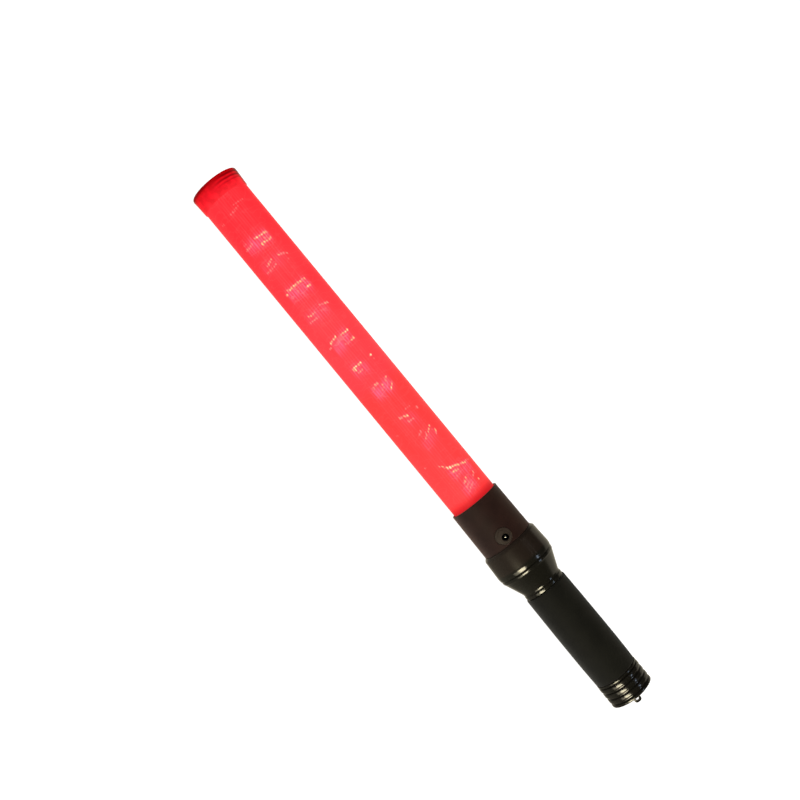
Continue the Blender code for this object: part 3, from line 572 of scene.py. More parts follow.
# Colours of the lit tube, from the reds of the LEDs' light painted on it as glow to the core of a glint
TUBE_NEAR_TIP = rgb(1.0, 0.020, 0.031)
TUBE_NEAR_COLLAR = rgb(1.0, 0.055, 0.067)
TUBE_PAST_LEDS = rgb(1.0, 0.052, 0.050)
TUBE_DIM_AT_COLLAR = rgb(0.50, 0.013, 0.016)
TUBE_DRIFT = rgb(1.0, 0.082, 0.090)
TUBE_STREAK_GLOW = rgb(1.0, 0.115, 0.130)
TUBE_FLUTE = rgb(0.8, 0.02, 0.03)
TUBE_UNLIT = rgb(0.20, 0.002, 0.004)
HAZE_PINK = rgb(1.0, 0.145, 0.255)
WISP_PINK = rgb(1.0, 0.30, 0.30)
GLINT_ROSE = rgb(1.0, 0.23, 0.22)
GLINT_GOLD = rgb(1.0, 0.60, 0.20)
GLINT_CORE = rgb(1.0, 0.86, 0.55)

# Stretches along the baton over which one red of the tube's painted glow turns into the next
NEAR_TIP_FADE = (-0.255, -0.075)
PAST_LEDS_FADE = (-0.072, -0.050)
COLLAR_FADE = (0.0500, 0.0590)

# Shading towards the long edges: where it starts, and what is left at the upper and the lower edge
TUBE_LIMB = (0.95, 0.72, 0.85)
CAP_LIMB = (0.86, 0.20, 0.70)

# Colours of the cap: its painted glow, its painted shade and its unlit body
CAP_DEEP = rgb(0.46, 0.0003, 0.0012)
CAP_LIT = rgb(0.84, 0.010, 0.020)
CAP_OVER_TUBE = rgb(0.95, 0.026, 0.036)
CAP_SHADE = rgb(0.10, 0.0, 0.001)
CAP_UNLIT = rgb(0.12, 0.0005, 0.0015)
CAP_LAP = 0.006

# Glints that the LEDs throw on the fluted tube, on the side they face. Each row is: the LED, how
# far beyond it the column lies, where round the tube it starts and ends, how far it leans per
# millimetre round the tube, and its brightness. Lengths are in millimetres.
GLINTS = (
    (0, 0.3, 1.0, 11.5, 0.00, 0.20),
    (0, 3.9, -5.5, 4.5, -0.20, 0.30),
    (0, 6.3, -18.0, -15.0, 0.00, 0.30),
    (1, 5.0, -2.5, 10.0, 0.09, 0.95),
    (1, 5.6, -15.0, -5.5, -0.15, 0.52),
    (1, 9.0, 3.0, 7.0, 0.00, 0.45),
    (1, 12.0, -1.0, 9.5, 0.00, 0.90),
    (1, 3.4, -14.0, -10.0, 0.00, 0.20),
    (2, -1.8, 3.5, 12.0, 0.34, 0.60),
    (2, -1.5, -9.0, -2.0, -0.28, 0.65),
    (2, 4.2, -13.0, -1.0, -0.10, 0.40),
    (2, 6.7, 7.0, 10.0, 0.00, 0.20),
    (3, 0.2, -9.0, 9.0, 0.02, 1.00),
    (3, 2.2, -12.5, -10.0, 0.00, 0.85),
    (3, 7.0, 5.0, 10.0, 0.00, 0.95),
    (3, 5.4, -3.5, -1.0, 0.00, 0.50),
    (4, -3.7, 3.5, 12.0, 0.34, 0.55),
    (4, 0.4, -9.5, -2.0, 0.14, 0.70),
    (4, 1.5, 2.0, 7.0, 0.20, 0.22),
    (4, 4.8, -12.0, -2.0, 0.08, 0.45),
    (5, 0.4, 1.0, 10.0, -0.05, 0.95),
    (5, -2.0, -10.0, -1.5, -0.30, 0.90),
    (5, 3.1, -13.0, -10.5, 0.00, 0.70),
    (5, 8.0, 5.0, 10.0, 0.00, 0.95),
    (5, 8.6, 0.0, 4.0, 0.00, 0.42),
    (6, 0.6, 9.5, 12.0, 0.00, 1.20),
    (6, 4.5, 10.0, 12.0, 0.00, 0.30),
    (6, 0.4, -8.5, 1.0, 0.00, 1.15),
    (6, 2.3, -8.5, -6.0, 0.00, 1.00),
    (6, 5.3, -7.0, -1.0, 0.00, 0.50),
    (7, 1.1, 5.5, 10.0, -0.70, 0.80),
    (7, -2.0, 1.5, 4.0, 0.00, 0.70),
    (7, -5.4, -3.5, 1.0, 0.00, 0.95),
    (7, -3.9, -6.3, -4.0, 0.00, 0.70),
    (7, 10.4, 5.0, 10.5, -0.90, 0.95),
    (7, 0.8, -2.0, 3.0, 0.00, 0.32),
    (8, 2.1, -4.5, 3.0, 0.36, 0.90),
    (8, 2.6, 11.5, 14.5, 0.00, 0.60),
    (8, -2.1, 3.0, 9.0, 0.00, 0.28),
    (8, 7.0, -1.0, 6.0, 0.20, 0.45),
    (8, 9.7, -17.5, -14.5, 0.00, 0.25),
    (9, 2.7, 6.5, 12.0, -0.85, 0.65),
    (9, 12.2, 11.3, 13.6, -1.00, 0.85),
    (9, 1.3, 1.0, 5.5, -1.00, 0.55),
    (9, -6.2, -1.5, 3.0, -0.50, 0.42),
    (10, -8.8, -16.0, -13.5, 0.00, 0.28),
    (10, 1.5, -4.5, -0.5, 1.10, 0.75),
    (10, 1.6, -0.5, 8.0, 0.40, 1.40),
    (10, 2.2, 8.0, 16.0, 0.33, 0.75),
    (10, 5.0, 16.0, 22.0, 0.10, 0.40),
    (10, 6.1, 0.5, 6.5, 0.30, 0.80),
    (10, 10.8, 1.0, 7.0, 0.12, 0.32),
    (11, 0.1, 12.0, 16.3, -0.60, 0.60),
    (11, -2.2, 14.5, 16.2, 0.00, 0.65),
    (11, -5.5, 2.5, 7.5, -0.60, 0.70),
    (11, -2.6, 2.0, 8.0, -0.50, 0.50),
    (11, 1.3, 0.5, 10.0, -0.55, 0.55),
)
GLINT_WIDTH = 1.1
GLINT_END = 0.8

# Patches of painted pink haze of light round the brighter glints, in rows of the same kind
HAZES = (
    (1, 8.5, -13.0, 9.0, 0.00, 0.70),
    (2, 2.0, -14.0, 8.0, 0.00, 0.25),
    (3, 5.0, -11.0, 9.5, 0.00, 0.75),
    (4, 2.0, -12.0, 8.0, 0.00, 0.35),
    (5, 4.5, -9.0, 8.0, -0.30, 0.80),
    (6, 4.0, -10.0, 3.0, 0.00, 0.50),
    (7, 1.0, -8.0, 10.0, 0.00, 0.75),
    (8, 5.0, -3.0, 8.0, 0.20, 0.30),
    (9, 3.0, -3.0, 12.0, -0.40, 0.30),
    (10, 8.0, -2.0, 18.0, 0.20, 0.50),
    (11, -1.0, -2.0, 12.0, -0.40, 0.50),
)
HAZE_WIDTH = 5.5
HAZE_END = 4.0

# Painted shade rings, where the end wall and inner rib show through the cap: how far they lie from its
# end, their half width and depth of shade
CAP_RINGS = ((0.0034, 0.0013, 0.85), (0.0064, 0.0012, 0.75), (0.0092, 0.0010, 0.35))


def led_middle(index):
    """Where an LED lies along the baton, counted from 0."""
    low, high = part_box(f"led_{index + 1:02d}")
    return (low.x + high.x) / 2.0


def glint_group():
    """Node group: the glow of one column of glints, from 0 to its brightness."""
    group = bpy.data.node_groups.new("glint_column", "ShaderNodeTree")
    for name in ("Along", "Round", "Place", "Low", "High", "Lean", "Bright", "Width", "End"):
        group.interface.new_socket(name, in_out="INPUT", socket_type="NodeSocketFloat")
    group.interface.new_socket("Glow", in_out="OUTPUT", socket_type="NodeSocketFloat")
    column = Nodes(group)
    inputs = column.add("NodeGroupInput").outputs
    result = column.add("NodeGroupOutput").inputs["Glow"]

    def within(room):
        share = column.calc("ADD", column.calc("DIVIDE", room, inputs["End"]), 0.5)
        return column.calc("MINIMUM", column.calc("MAXIMUM", share, 0.0), 1.0)

    leaned = column.product(inputs["Round"], inputs["Lean"])
    away = column.calc("SUBTRACT", column.calc("SUBTRACT", inputs["Along"], inputs["Place"]), leaned)
    scaled = column.calc("DIVIDE", away, inputs["Width"])
    across = column.calc("EXPONENT", column.product(scaled, scaled, -1.0))
    past_low = within(column.calc("SUBTRACT", inputs["Round"], inputs["Low"]))
    before_high = within(column.calc("SUBTRACT", inputs["High"], inputs["Round"]))
    column.put(result, column.product(past_low, before_high, across, inputs["Bright"]))
    return group


def summed_columns(finish, group, rows, along_mm, round_mm, width, end):
    """The joint glow of a table of columns."""
    glow = 0.0
    for led, beyond, low, high, lean, bright in rows:
        column = finish.add("ShaderNodeGroup", node_tree=group)
        place = led_middle(led) / MM + beyond
        value = finish.feed(column, along_mm, round_mm, place, low, high, lean, bright, width, end)
        glow = finish.calc("ADD", glow, value)
    return glow


def limb(finish, radius, start, upper, lower):
    """Shading from 1 between the two long edges of a round part to what is left at each."""
    share = finish.calc("DIVIDE", finish.across, radius)
    top = finish.ranged(share, start, 1.0, 1.0, upper)
    bottom = finish.ranged(finish.product(share, -1.0), start, 1.0, 1.0, lower)
    return finish.product(top, bottom)


def shaded(finish, colour, amount):
    """A colour made darker by an amount from 0 to 1."""
    grey = finish.add("ShaderNodeCombineColor")
    finish.feed(grey, amount, amount, amount)
    return finish.mixed(1.0, colour, grey.outputs[0], blend="MULTIPLY")


def lit_columns(finish, round_mm):
    """The glow of the glints and of the haze; behind, both are repeated one LED further on."""
    behind = finish.calc("LESS_THAN", finish.out, 0.0)
    pitch = (led_middle(LAST_LED) - led_middle(0)) / LAST_LED
    shifted = finish.calc("MULTIPLY_ADD", behind, pitch, finish.along)
    along_mm = finish.calc("DIVIDE", shifted, MM)
    wander = finish.calc("MULTIPLY_ADD", finish.noise(0.004, detail=1.0), 2.4, -1.2)
    wavy_mm = finish.calc("ADD", along_mm, wander)
    group = glint_group()
    glow = summed_columns(finish, group, GLINTS, wavy_mm, round_mm, GLINT_WIDTH, GLINT_END)
    patch = summed_columns(finish, group, HAZES, along_mm, round_mm, HAZE_WIDTH, HAZE_END)
    return glow, patch


def tube_glow(finish):
    """The tube's painted glow, lighter towards the collar and a little uneven."""
    colour = finish.mixed(finish.ranged(finish.along, *NEAR_TIP_FADE, kind="LINEAR"),
                          TUBE_NEAR_TIP, TUBE_NEAR_COLLAR)
    colour = finish.mixed(finish.ranged(finish.along, *PAST_LEDS_FADE), colour, TUBE_PAST_LEDS)
    drift = finish.ranged(finish.noise(0.030, stretch=(0.6, 1.0, 1.0)), 0.35, 0.7)
    return finish.mixed(finish.product(drift, 0.30), colour, TUBE_DRIFT)


def with_haze(finish, colour, patch, flute, round_mm):
    """Painted light streaks along the flutes, lighter in the middle of each face, with painted pink
    haze and wisps of light round the glints.
    """
    streaks = finish.ranged(finish.noise(0.0016, stretch=(0.10, 1.0, 1.0)), 0.32, 0.68, 0.35, 1.0)
    ribbed = finish.product(streaks, finish.ranged(flute, 0.0, 1.0, 0.45, 1.0))
    middle = finish.ranged(finish.calc("ABSOLUTE", round_mm), 15.0, 5.0)
    glow_streaks = finish.product(ribbed, middle, 0.30)
    strands = finish.noise(0.0060, detail=1.0, stretch=(1.0, 0.45, 0.45))
    strands = finish.calc("ABSOLUTE", finish.calc("SUBTRACT", strands, 0.5))
    strands = finish.ranged(strands, 0.034, 0.004)
    wisps = finish.product(strands, finish.calc("MULTIPLY_ADD", patch, 0.42, 0.035))
    haze = finish.product(patch, 1.60, ribbed)
    # Painted light streaks, then painted pink haze and wisps of light
    colour = finish.mixed(glow_streaks, colour, TUBE_STREAK_GLOW)
    colour = finish.mixed(haze, colour, HAZE_PINK)
    return finish.mixed(wisps, colour, WISP_PINK)


def with_glints(finish, colour, glow, flute):
    """Each column broken into dots by the flutes, rose outside, then gold, and pale at its core."""
    dots = finish.ranged(flute, 0.05, 0.90, 0.42, 1.0)
    uneven = finish.ranged(finish.noise(0.0022, detail=1.0), 0.32, 0.66, 0.38, 1.18)
    sparkle = finish.product(glow, dots, uneven)
    colour = finish.mixed(finish.ranged(flute, 0.0, 1.0, 0.06, 0.0), colour, TUBE_FLUTE)
    colour = finish.mixed(finish.ranged(sparkle, 0.02, 0.40, 0.0, 0.85), colour, GLINT_ROSE)
    colour = finish.mixed(finish.ranged(sparkle, 0.34, 0.74, 0.0, 0.85), colour, GLINT_GOLD)
    return finish.mixed(finish.ranged(sparkle, 0.74, 1.10), colour, GLINT_CORE)


def glowing(finish, unlit, colour, specular):
    """Let a surface give off its colour, over a dark body with little reflection."""
    finish.set("Base Color", unlit)
    finish.set("Specular IOR Level", specular)
    finish.set("Emission Color", colour)
    finish.set("Emission Strength", 1.0)


def tube_plastic():
    """Glowing red tube, fluted inside, with the columns of glints that its LEDs make."""
    finish = Finish("tube_plastic", roughness=0.38)
    turn = finish.calc("ARCTAN2", finish.across, finish.calc("ABSOLUTE", finish.out))
    round_mm = finish.product(turn, TUBE_RADIUS / MM)
    wave = finish.calc("COSINE", finish.product(turn, FLUTE_COUNT))
    flute = finish.calc("MULTIPLY_ADD", wave, 0.5, 0.5)
    glow, patch = lit_columns(finish, round_mm)
    colour = with_haze(finish, tube_glow(finish), patch, flute, round_mm)
    colour = with_glints(finish, colour, glow, flute)
    # The painted glow dims next to the collar
    colour = finish.mixed(finish.ranged(finish.along, *COLLAR_FADE), colour, TUBE_DIM_AT_COLLAR)
    colour = shaded(finish, colour, limb(finish, TUBE_RADIUS, *TUBE_LIMB))
    glowing(finish, TUBE_UNLIT, colour, 0.04)
    finish.bumps((flute, 0.00001), (finish.noise(0.0012, detail=3.0), 0.000006))
    return finish.material


def cap_plastic():
    """Clear red cap with a painted glow, dim at its thick end wall and bright where it laps over the
    lit tube, with painted shade rings and a painted shade rim.
    """
    finish = Finish("cap_plastic", roughness=0.22)
    end = cad_box[0].x
    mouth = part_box("tip_cap")[1].x
    wander = finish.calc("MULTIPLY_ADD", finish.noise(0.010, detail=1.0), 0.0016, -0.0008)
    along = finish.calc("ADD", finish.along, wander)
    # Painted glow, dim at the end wall and bright towards the mouth and over the tube
    colour = finish.mixed(finish.ranged(along, end, mouth - CAP_LAP), CAP_DEEP, CAP_LIT)
    over_tube = finish.ranged(along, mouth - CAP_LAP, mouth, kind="LINEAR")
    colour = finish.mixed(over_tube, colour, CAP_OVER_TUBE)
    cloud = finish.ranged(finish.noise(0.005, detail=3.0), 0.3, 0.7, 0.82, 1.10)
    colour = shaded(finish, colour, cloud)
    # Painted shade rings, on the cap's upper side only
    upper = finish.ranged(finish.across, -0.006, 0.012)
    for place, width, depth in CAP_RINGS:
        away = finish.calc("ABSOLUTE", finish.calc("SUBTRACT", along, end + place))
        ring = finish.ranged(away, width, width * 0.2, 0.0, depth)
        colour = finish.mixed(finish.product(ring, upper), colour, CAP_SHADE)
    # Painted shade along the rim of the cap's end, deeper on its lower side
    rim = finish.ranged(finish.along, end + 0.0038, end + 0.0016)
    lower = finish.ranged(finish.across, 0.006, -0.012, 0.35, 0.90)
    colour = finish.mixed(finish.product(rim, lower), colour, CAP_SHADE)
    colour = shaded(finish, colour, limb(finish, CAP_END_RADIUS, *CAP_LIMB))
    glowing(finish, CAP_UNLIT, colour, 0.05)
    finish.bumps((finish.noise(0.0015, detail=3.0), 0.000008))
    return finish.material


# ------------------------ pieces

def build_tip_cap():
    start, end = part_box("tip_cap")[0].x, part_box("tip_cap")[1].x
    inside = start + CAP_WALL
    rib_top = inside + CAP_RIB_HEIGHT
    rib_outer, rib_inner = CAP_RIB_RADIUS + CAP_RIB_HALF, CAP_RIB_RADIUS - CAP_RIB_HALF
    cap = turned("tip_cap_moulding", rounded([
        (start + CAP_CROWN, 0.0),
        (start, CAP_END_RADIUS - 0.0030, 0.0020),
        (start, CAP_END_RADIUS, 0.0018),
        (end, CAP_MOUTH_RADIUS, MILD_EDGE),
        (end, CAP_BORE, EDGE),
        (inside, CAP_BORE, 0.0005),
        (inside, rib_outer, EDGE),
        (rib_top, rib_outer, EDGE),
        (rib_top, rib_inner, EDGE),
        (inside, rib_inner, EDGE),
        (inside, 0.0),
    ]))
    stands_for(cap, "tip_cap", cap_plastic())


def build_light_tube():
    start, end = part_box("light_tube")[0].x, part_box("light_tube")[1].x
    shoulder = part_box("tip_cap")[1].x + GAP
    outline = rounded([
        (start, TUBE_WALL_INSIDE, EDGE),
        (start, TUBE_THIN_RADIUS, EDGE),
        (shoulder, TUBE_THIN_RADIUS, SHARP_EDGE),
        (shoulder, TUBE_RADIUS, EDGE),
        (end, TUBE_RADIUS, EDGE),
        (end, TUBE_WALL_INSIDE, EDGE),
    ])

    def flute(along, radius, angle):
        if radius >= TUBE_WALL_INSIDE + SHARP_EDGE:
            return radius
        return radius - FLUTE_DEPTH * (0.5 + 0.5 * math.cos(FLUTE_COUNT * angle))

    tube = turned("light_tube_fluted", outline, steps=FLUTE_COUNT * 4, ripple=flute)
    stands_for(tube, "light_tube", tube_plastic())


def build_collar_sleeve(material):
    """Slightly tapered sleeve, with rings along its side that keep the faces round its holes small."""
    start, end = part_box("collar_sleeve")[0].x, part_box("collar_sleeve")[1].x
    side = []
    for row in range(1, SLEEVE_ROWS):
        share = row / SLEEVE_ROWS
        radius = SLEEVE_FRONT_RADIUS + (SLEEVE_REAR_RADIUS - SLEEVE_FRONT_RADIUS) * share
        side.append((start + (SLEEVE_SHOULDER - start) * share, radius))
    sleeve = turned("collar_moulding", rounded([
        (start, SLEEVE_BORE, EDGE),
        (start, SLEEVE_FRONT_RADIUS, SOFT_EDGE),
        *side,
        (SLEEVE_SHOULDER, SLEEVE_REAR_RADIUS, MILD_EDGE),
        (SLEEVE_SHOULDER, SLEEVE_SPIGOT_RADIUS, SHARP_EDGE),
        (end, SLEEVE_SPIGOT_RADIUS, EDGE),
        (end, SLEEVE_INNER_BORE, EDGE),
        (SLEEVE_STEP, SLEEVE_INNER_BORE, EDGE),
        (SLEEVE_STEP, SLEEVE_BORE, EDGE),
    ]), steps=SLEEVE_STEPS)
    jack, button, barrel = POSTS["jack_bezel"], POSTS["switch_button"], POSTS["jack_socket"]
    cut_hole(sleeve, DISH_FLOOR, DISH_RADIUS, jack, DISH_STEPS)
    cut_hole(sleeve, BORE_FLOOR, JACK_BODY_RADIUS + GAP, barrel, HOLE_STEPS)
    cut_hole(sleeve, -DISH_FLOOR, DISH_RADIUS, button, DISH_STEPS)
    cut_hole(sleeve, -BORE_FLOOR, BUTTON_RADIUS + GAP, button, HOLE_STEPS)
    stands_for(sleeve, "collar_sleeve", material)


def cut_hole(piece, floor, radius, post, steps):
    """Sink a round hole about a post, from outside the baton down to its floor on the same side."""
    outside = math.copysign(AXIS_HEIGHT, floor)
    hole = [(floor, 0.0), (floor, radius), (outside, radius), (outside, 0.0)]
    combine(piece, turned("hole", hole, steps=steps, post=post))


def build_jack(materials):
    low, high = roll_box("jack_bezel")
    rim = DISH_RADIUS - GAP
    top, step = high.z, high.z - BEZEL_STEP
    bezel = turned("jack_bezel_ring", rounded([
        (low.z, 0.0),
        (low.z, rim, SHARP_EDGE),
        (step, rim, SOFT_EDGE),
        (step, rim - BEZEL_LIP, MILD_EDGE),
        (top, rim - BEZEL_LIP - BEZEL_CHAMFER, MILD_EDGE),
        (top, 0.0),
    ]), steps=BEZEL_STEPS, post=POSTS["jack_bezel"])
    combine(bezel, turned("bore", rounded([
        (low.z - BEZEL_MARGIN, 0.0),
        (low.z - BEZEL_MARGIN, JACK_BORE),
        (top - BEZEL_CHAMFER, JACK_BORE, MILD_EDGE),
        (top + EDGE, JACK_BORE + BEZEL_FLARE),
        (top + EDGE, 0.0),
    ]), steps=JACK_STEPS, post=POSTS["jack_socket"]))
    stands_for(bezel, "jack_bezel", materials["bezel_grey"])

    low, high = roll_box("jack_socket")
    floor = low.z + JACK_FLOOR
    socket = turned("jack_barrel", rounded([
        (low.z, 0.0),
        (low.z, JACK_BODY_RADIUS, EDGE),
        (high.z, JACK_BODY_RADIUS, SHARP_EDGE),
        (high.z, JACK_BORE, SHARP_EDGE),
        (floor, JACK_BORE, EDGE),
        (floor, 0.0),
    ]), steps=JACK_STEPS, post=POSTS["jack_socket"])
    stands_for(socket, "jack_socket", materials["chip_black"])

    low, high = roll_box("jack_pin")
    pin = turned("jack_centre_pin", rounded([
        (low.z, 0.0),
        (low.z, JACK_PIN_RADIUS),
        (high.z, JACK_PIN_RADIUS, 0.0006),
        (high.z, 0.0),
    ]), steps=PIN_STEPS, post=POSTS["jack_socket"])
    stands_for(pin, "jack_pin", materials["nickel"])


def build_button(materials):
    low, high = roll_box("switch_button")
    button = turned("switch_button_cap", rounded([
        (high.z, 0.0),
        (high.z, BUTTON_FLANGE_RADIUS, EDGE),
        (-BUTTON_FLANGE_TOP, BUTTON_FLANGE_RADIUS, EDGE),
        (-BUTTON_FLANGE_TOP, BUTTON_RADIUS, EDGE),
        (low.z + 0.0004, BUTTON_RADIUS, 0.0006),
        (low.z, BUTTON_RADIUS * 0.55, 0.0020),
        (low.z + 0.0001, 0.0),
    ]), steps=JACK_STEPS, post=POSTS["switch_button"])
    stands_for(button, "switch_button", materials["button_rubber"])

    low, high = roll_box("button_bezel")
    rim, inner = DISH_RADIUS - GAP, BUTTON_RADIUS + GAP
    bezel = turned("button_bezel_ring", rounded([
        (high.z, inner, SHARP_EDGE),
        (high.z, rim, SHARP_EDGE),
        (low.z + 0.0002, rim, MILD_EDGE),
        (low.z, rim - 0.0008, MILD_EDGE),
        (low.z, inner, MILD_EDGE),
    ]), steps=BEZEL_STEPS, post=POSTS["switch_button"])
    stands_for(bezel, "button_bezel", materials["bezel_grey"])


def build_head_ring(material):
    """Ring with a chamfer in front and a conical band behind it that ends in a narrow land."""
    start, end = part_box("head_ring")[0].x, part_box("head_ring")[1].x
    ring = turned("head_ring_moulding", rounded([
        (start, RING_BORE, SHARP_EDGE),
        (start, RING_BORE + 0.0005, MILD_EDGE),
        (RING_BAND_START, RING_BAND_RADIUS, 0.0014),
        (RING_BAND_END, AXIS_HEIGHT, 0.0030),
        (end - 0.0002, RING_REAR_RADIUS, 0.0007),
        (end, RING_REAR_RADIUS - 0.0008, EDGE),
        (end, RING_BORE, SHARP_EDGE),
    ], arc_step=FINE_ARC_STEP))
    stands_for(ring, "head_ring", material)


def build_handle_shell(material):
    """Bead, cone and neck, each with a narrow land on its crest, and the barrel under the grip."""
    start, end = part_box("handle_shell")[0].x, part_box("handle_shell")[1].x
    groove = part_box("head_ring")[1].x + GAP
    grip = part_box("grip_sleeve")[0].x
    outline = rounded([
        (start, SLEEVE_INNER_BORE, EDGE),
        (start, SLEEVE_SPIGOT_RADIUS, EDGE),
        (groove, SLEEVE_SPIGOT_RADIUS, SHARP_EDGE),
        (groove, HANDLE_BEAD_RADIUS - 0.0006, EDGE),
        (HANDLE_BEAD_START, HANDLE_BEAD_RADIUS, SOFT_EDGE),
        (CONE_START - 0.0005, HANDLE_BEAD_RADIUS - 0.0002, 0.0006),
        (CONE_START + 0.0002, CONE_START_RADIUS, 0.0008),
        (CONE_END, NECK_RADIUS, 0.0012),
        (NECK_LAND_END, NECK_RADIUS - 0.0001, MILD_EDGE),
        (NECK_GROOVE, NECK_RADIUS - 0.0007, SOFT_EDGE),
        (NECK_BEAD_START, NECK_BEAD_RADIUS, 0.0006),
        (NECK_BEAD_END, NECK_BEAD_RADIUS - 0.0001, 0.0010),
        (grip - 0.0003, NECK_RADIUS - 0.0008, EDGE),
        (grip, NECK_RADIUS - 0.0008, EDGE),
        (grip + 0.0006, NECK_RADIUS, EDGE),
        (end, NECK_RADIUS, EDGE),
        (end, THREAD_BORE, EDGE),
        (THREAD_START, THREAD_BORE, EDGE),
        (THREAD_START - 0.0005, BATTERY_BORE, EDGE),
        (CONE_END - 0.0038, BATTERY_BORE, 0.0020),
        (CONE_START - 0.0040, SLEEVE_INNER_BORE, 0.0020),
    ], arc_step=FINE_ARC_STEP)
    shell = turned("handle_moulding", outline)
    stands_for(shell, "handle_shell", material)


def build_grip_sleeve(material):
    """Soft grip, a little thinner at its ends, with a pebbled grain where two sets of waves cross."""
    start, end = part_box("grip_sleeve")[0].x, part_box("grip_sleeve")[1].x
    first, last = start + GRIP_LEAD_IN, end - GRIP_LEAD_OUT
    side = []
    for row in range(GRIP_ROWS + 1):
        x = first + (last - first) * row / GRIP_ROWS
        share = (x - GRIP_MIDDLE) / (GRIP_MIDDLE - start if x < GRIP_MIDDLE else end - GRIP_MIDDLE)
        side.append((x, GRIP_RADIUS - GRIP_CROWN * share**2))
    lip = GRIP_RADIUS - GRIP_LIP
    outline = [(start, GRIP_BORE), (start, lip), *side, (end, lip), (end, GRIP_BORE)]
    waves = round(2.0 * math.pi * GRIP_RADIUS / GRIP_GRAIN)

    def pebble(along, radius, angle):
        if radius <= lip:
            return radius
        lengthwise = 2.0 * math.pi * along / GRIP_GRAIN
        around = waves * angle
        height = math.cos((around + lengthwise) / 2.0) * math.cos((around - lengthwise) / 2.0)
        return radius - GRIP_GRAIN_DEPTH * (0.5 - 0.5 * height)

    grip = turned("grip_rubber_sleeve", outline, steps=GRIP_STEPS, ripple=pebble)
    stands_for(grip, "grip_sleeve", material)


def tail_side(start, radius):
    """Corners of the flat-topped ribs along the tail cap, from its front bead to its last rib."""
    crest = TAIL_CREST_RADIUS
    side = [(start, radius, SOFT_EDGE)]
    for rib in range(TAIL_RIBS):
        middle = TAIL_FIRST_CREST + TAIL_RIB_PITCH * rib
        groove = middle - TAIL_RIB_PITCH / 2.0 if rib else (start + middle - TAIL_LAND_HALF) / 2.0
        half = 0.0006 if rib else 0.0002
        side.append((groove - half, TAIL_GROOVE_RADIUS, SOFT_EDGE))
        side.append((groove + half, TAIL_GROOVE_RADIUS, SOFT_EDGE))
        side.append((middle - TAIL_LAND_HALF, crest - 0.00012, 0.0005))
        side.append((middle + TAIL_LAND_HALF, crest, 0.0005))
    return side[:-1]


def build_tail_cap(material):
    """Ribbed cap with a hollow spigot, whose bore keeps a square bottom, and the eyelet's lug."""
    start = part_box("tail_cap")[0].x
    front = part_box("handle_shell")[1].x + GAP
    inner_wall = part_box("tail_contact")[1].x + GAP
    seal_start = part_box("tail_seal")[0].x - GAP
    crest = TAIL_CREST_RADIUS
    last = TAIL_FIRST_CREST + TAIL_RIB_PITCH * (TAIL_RIBS - 1)
    cap = turned("tail_cap_moulding", [
        (inner_wall, 0.0),
        (inner_wall, SPIGOT_BORE),
        *rounded([
            (inner_wall - 0.001, SPIGOT_BORE),
            (start, SPIGOT_BORE, EDGE),
            (start, SPIGOT_RADIUS, SOFT_EDGE),
            (seal_start, SPIGOT_RADIUS, SHARP_EDGE),
            (seal_start, SEAL_GROOVE_RADIUS, SHARP_EDGE),
            (front, SEAL_GROOVE_RADIUS, SHARP_EDGE),
            (front, crest - 0.0003, SOFT_EDGE),
            *tail_side(front + 0.0016, crest - 0.0002),
            (last + 0.0005, crest, 0.0006),
            (TAIL_FACE - 0.0012, crest - 0.0012, 0.0026),
            (TAIL_FACE, crest - 0.0034, 0.0020),
            (TAIL_FACE, 0.0),
        ])[1:],
    ])
    combine(cap, eyelet_lug(), "UNION")
    hole = [(-EYELET_THICKNESS, 0.0), (-EYELET_THICKNESS, EYELET_HOLE_RADIUS),
            (EYELET_THICKNESS, EYELET_HOLE_RADIUS), (EYELET_THICKNESS, 0.0)]
    combine(cap, turned("hole", hole, steps=HOLE_STEPS, post=(EYELET_HOLE, 0.0)))
    combine(cap, thread_ridge(start), "UNION")
    stands_for(cap, "tail_cap", material)


def eyelet_lug():
    """Flat lug with a rounded end and softened edges, rooted in the end wall."""
    root = TAIL_FACE - 0.0010
    end = cad_box[1].x
    half = EYELET_WIDTH / 2.0
    quarter = [math.radians(10.0) * step for step in range(10)]
    outline = [(root, -half)]
    for side, angles in ((-1.0, quarter), (1.0, reversed(quarter))):
        for angle in angles:
            x = end - EYELET_CORNER + EYELET_CORNER * math.sin(angle)
            outline.append((x, side * (half - EYELET_CORNER + EYELET_CORNER * math.cos(angle))))
    outline.append((root, half))
    bm = bmesh.new()
    face = bm.faces.new([bm.verts.new((x, y, -EYELET_THICKNESS / 2.0)) for x, y in outline])
    grown = bmesh.ops.extrude_face_region(bm, geom=[face])["geom"]
    raised = [item for item in grown if isinstance(item, bmesh.types.BMVert)]
    bmesh.ops.translate(bm, verts=raised, vec=(0.0, 0.0, EYELET_THICKNESS))
    rim = [edge for edge in bm.edges if abs(edge.verts[0].co.z - edge.verts[1].co.z) < 1e-6]
    bmesh.ops.bevel(bm, geom=rim, offset=0.0003, segments=2, profile=0.5, affect="EDGES")
    return make_piece("eyelet_lug", bm)


def thread_ridge(start):
    """Right-handed thread ridge wound on the spigot, with its root sunk into it."""
    root = SPIGOT_RADIUS - THREAD_SINK
    section = ((-0.0007, root), (-0.0003, THREAD_CREST), (0.0003, THREAD_CREST), (0.0007, root))
    bm = bmesh.new()
    rings = []
    for step in range(int(THREAD_STEPS * THREAD_TURNS) + 1):
        angle = 2.0 * math.pi * step / THREAD_STEPS
        x = start + THREAD_LEAD_IN + THREAD_PITCH * step / THREAD_STEPS
        out = Vector((0.0, math.cos(angle), math.sin(angle)))
        corners = [Vector((x + along, 0.0, 0.0)) + out * radius for along, radius in section]
        rings.append([bm.verts.new(corner) for corner in corners])
    for first, second in zip(rings, rings[1:]):
        for step in range(4):
            after = (step + 1) % 4
            bm.faces.new((first[step], first[after], second[after], second[step]))
    bm.faces.new(rings[0])
    bm.faces.new(rings[-1])
    return make_piece("thread_ridge", bm)


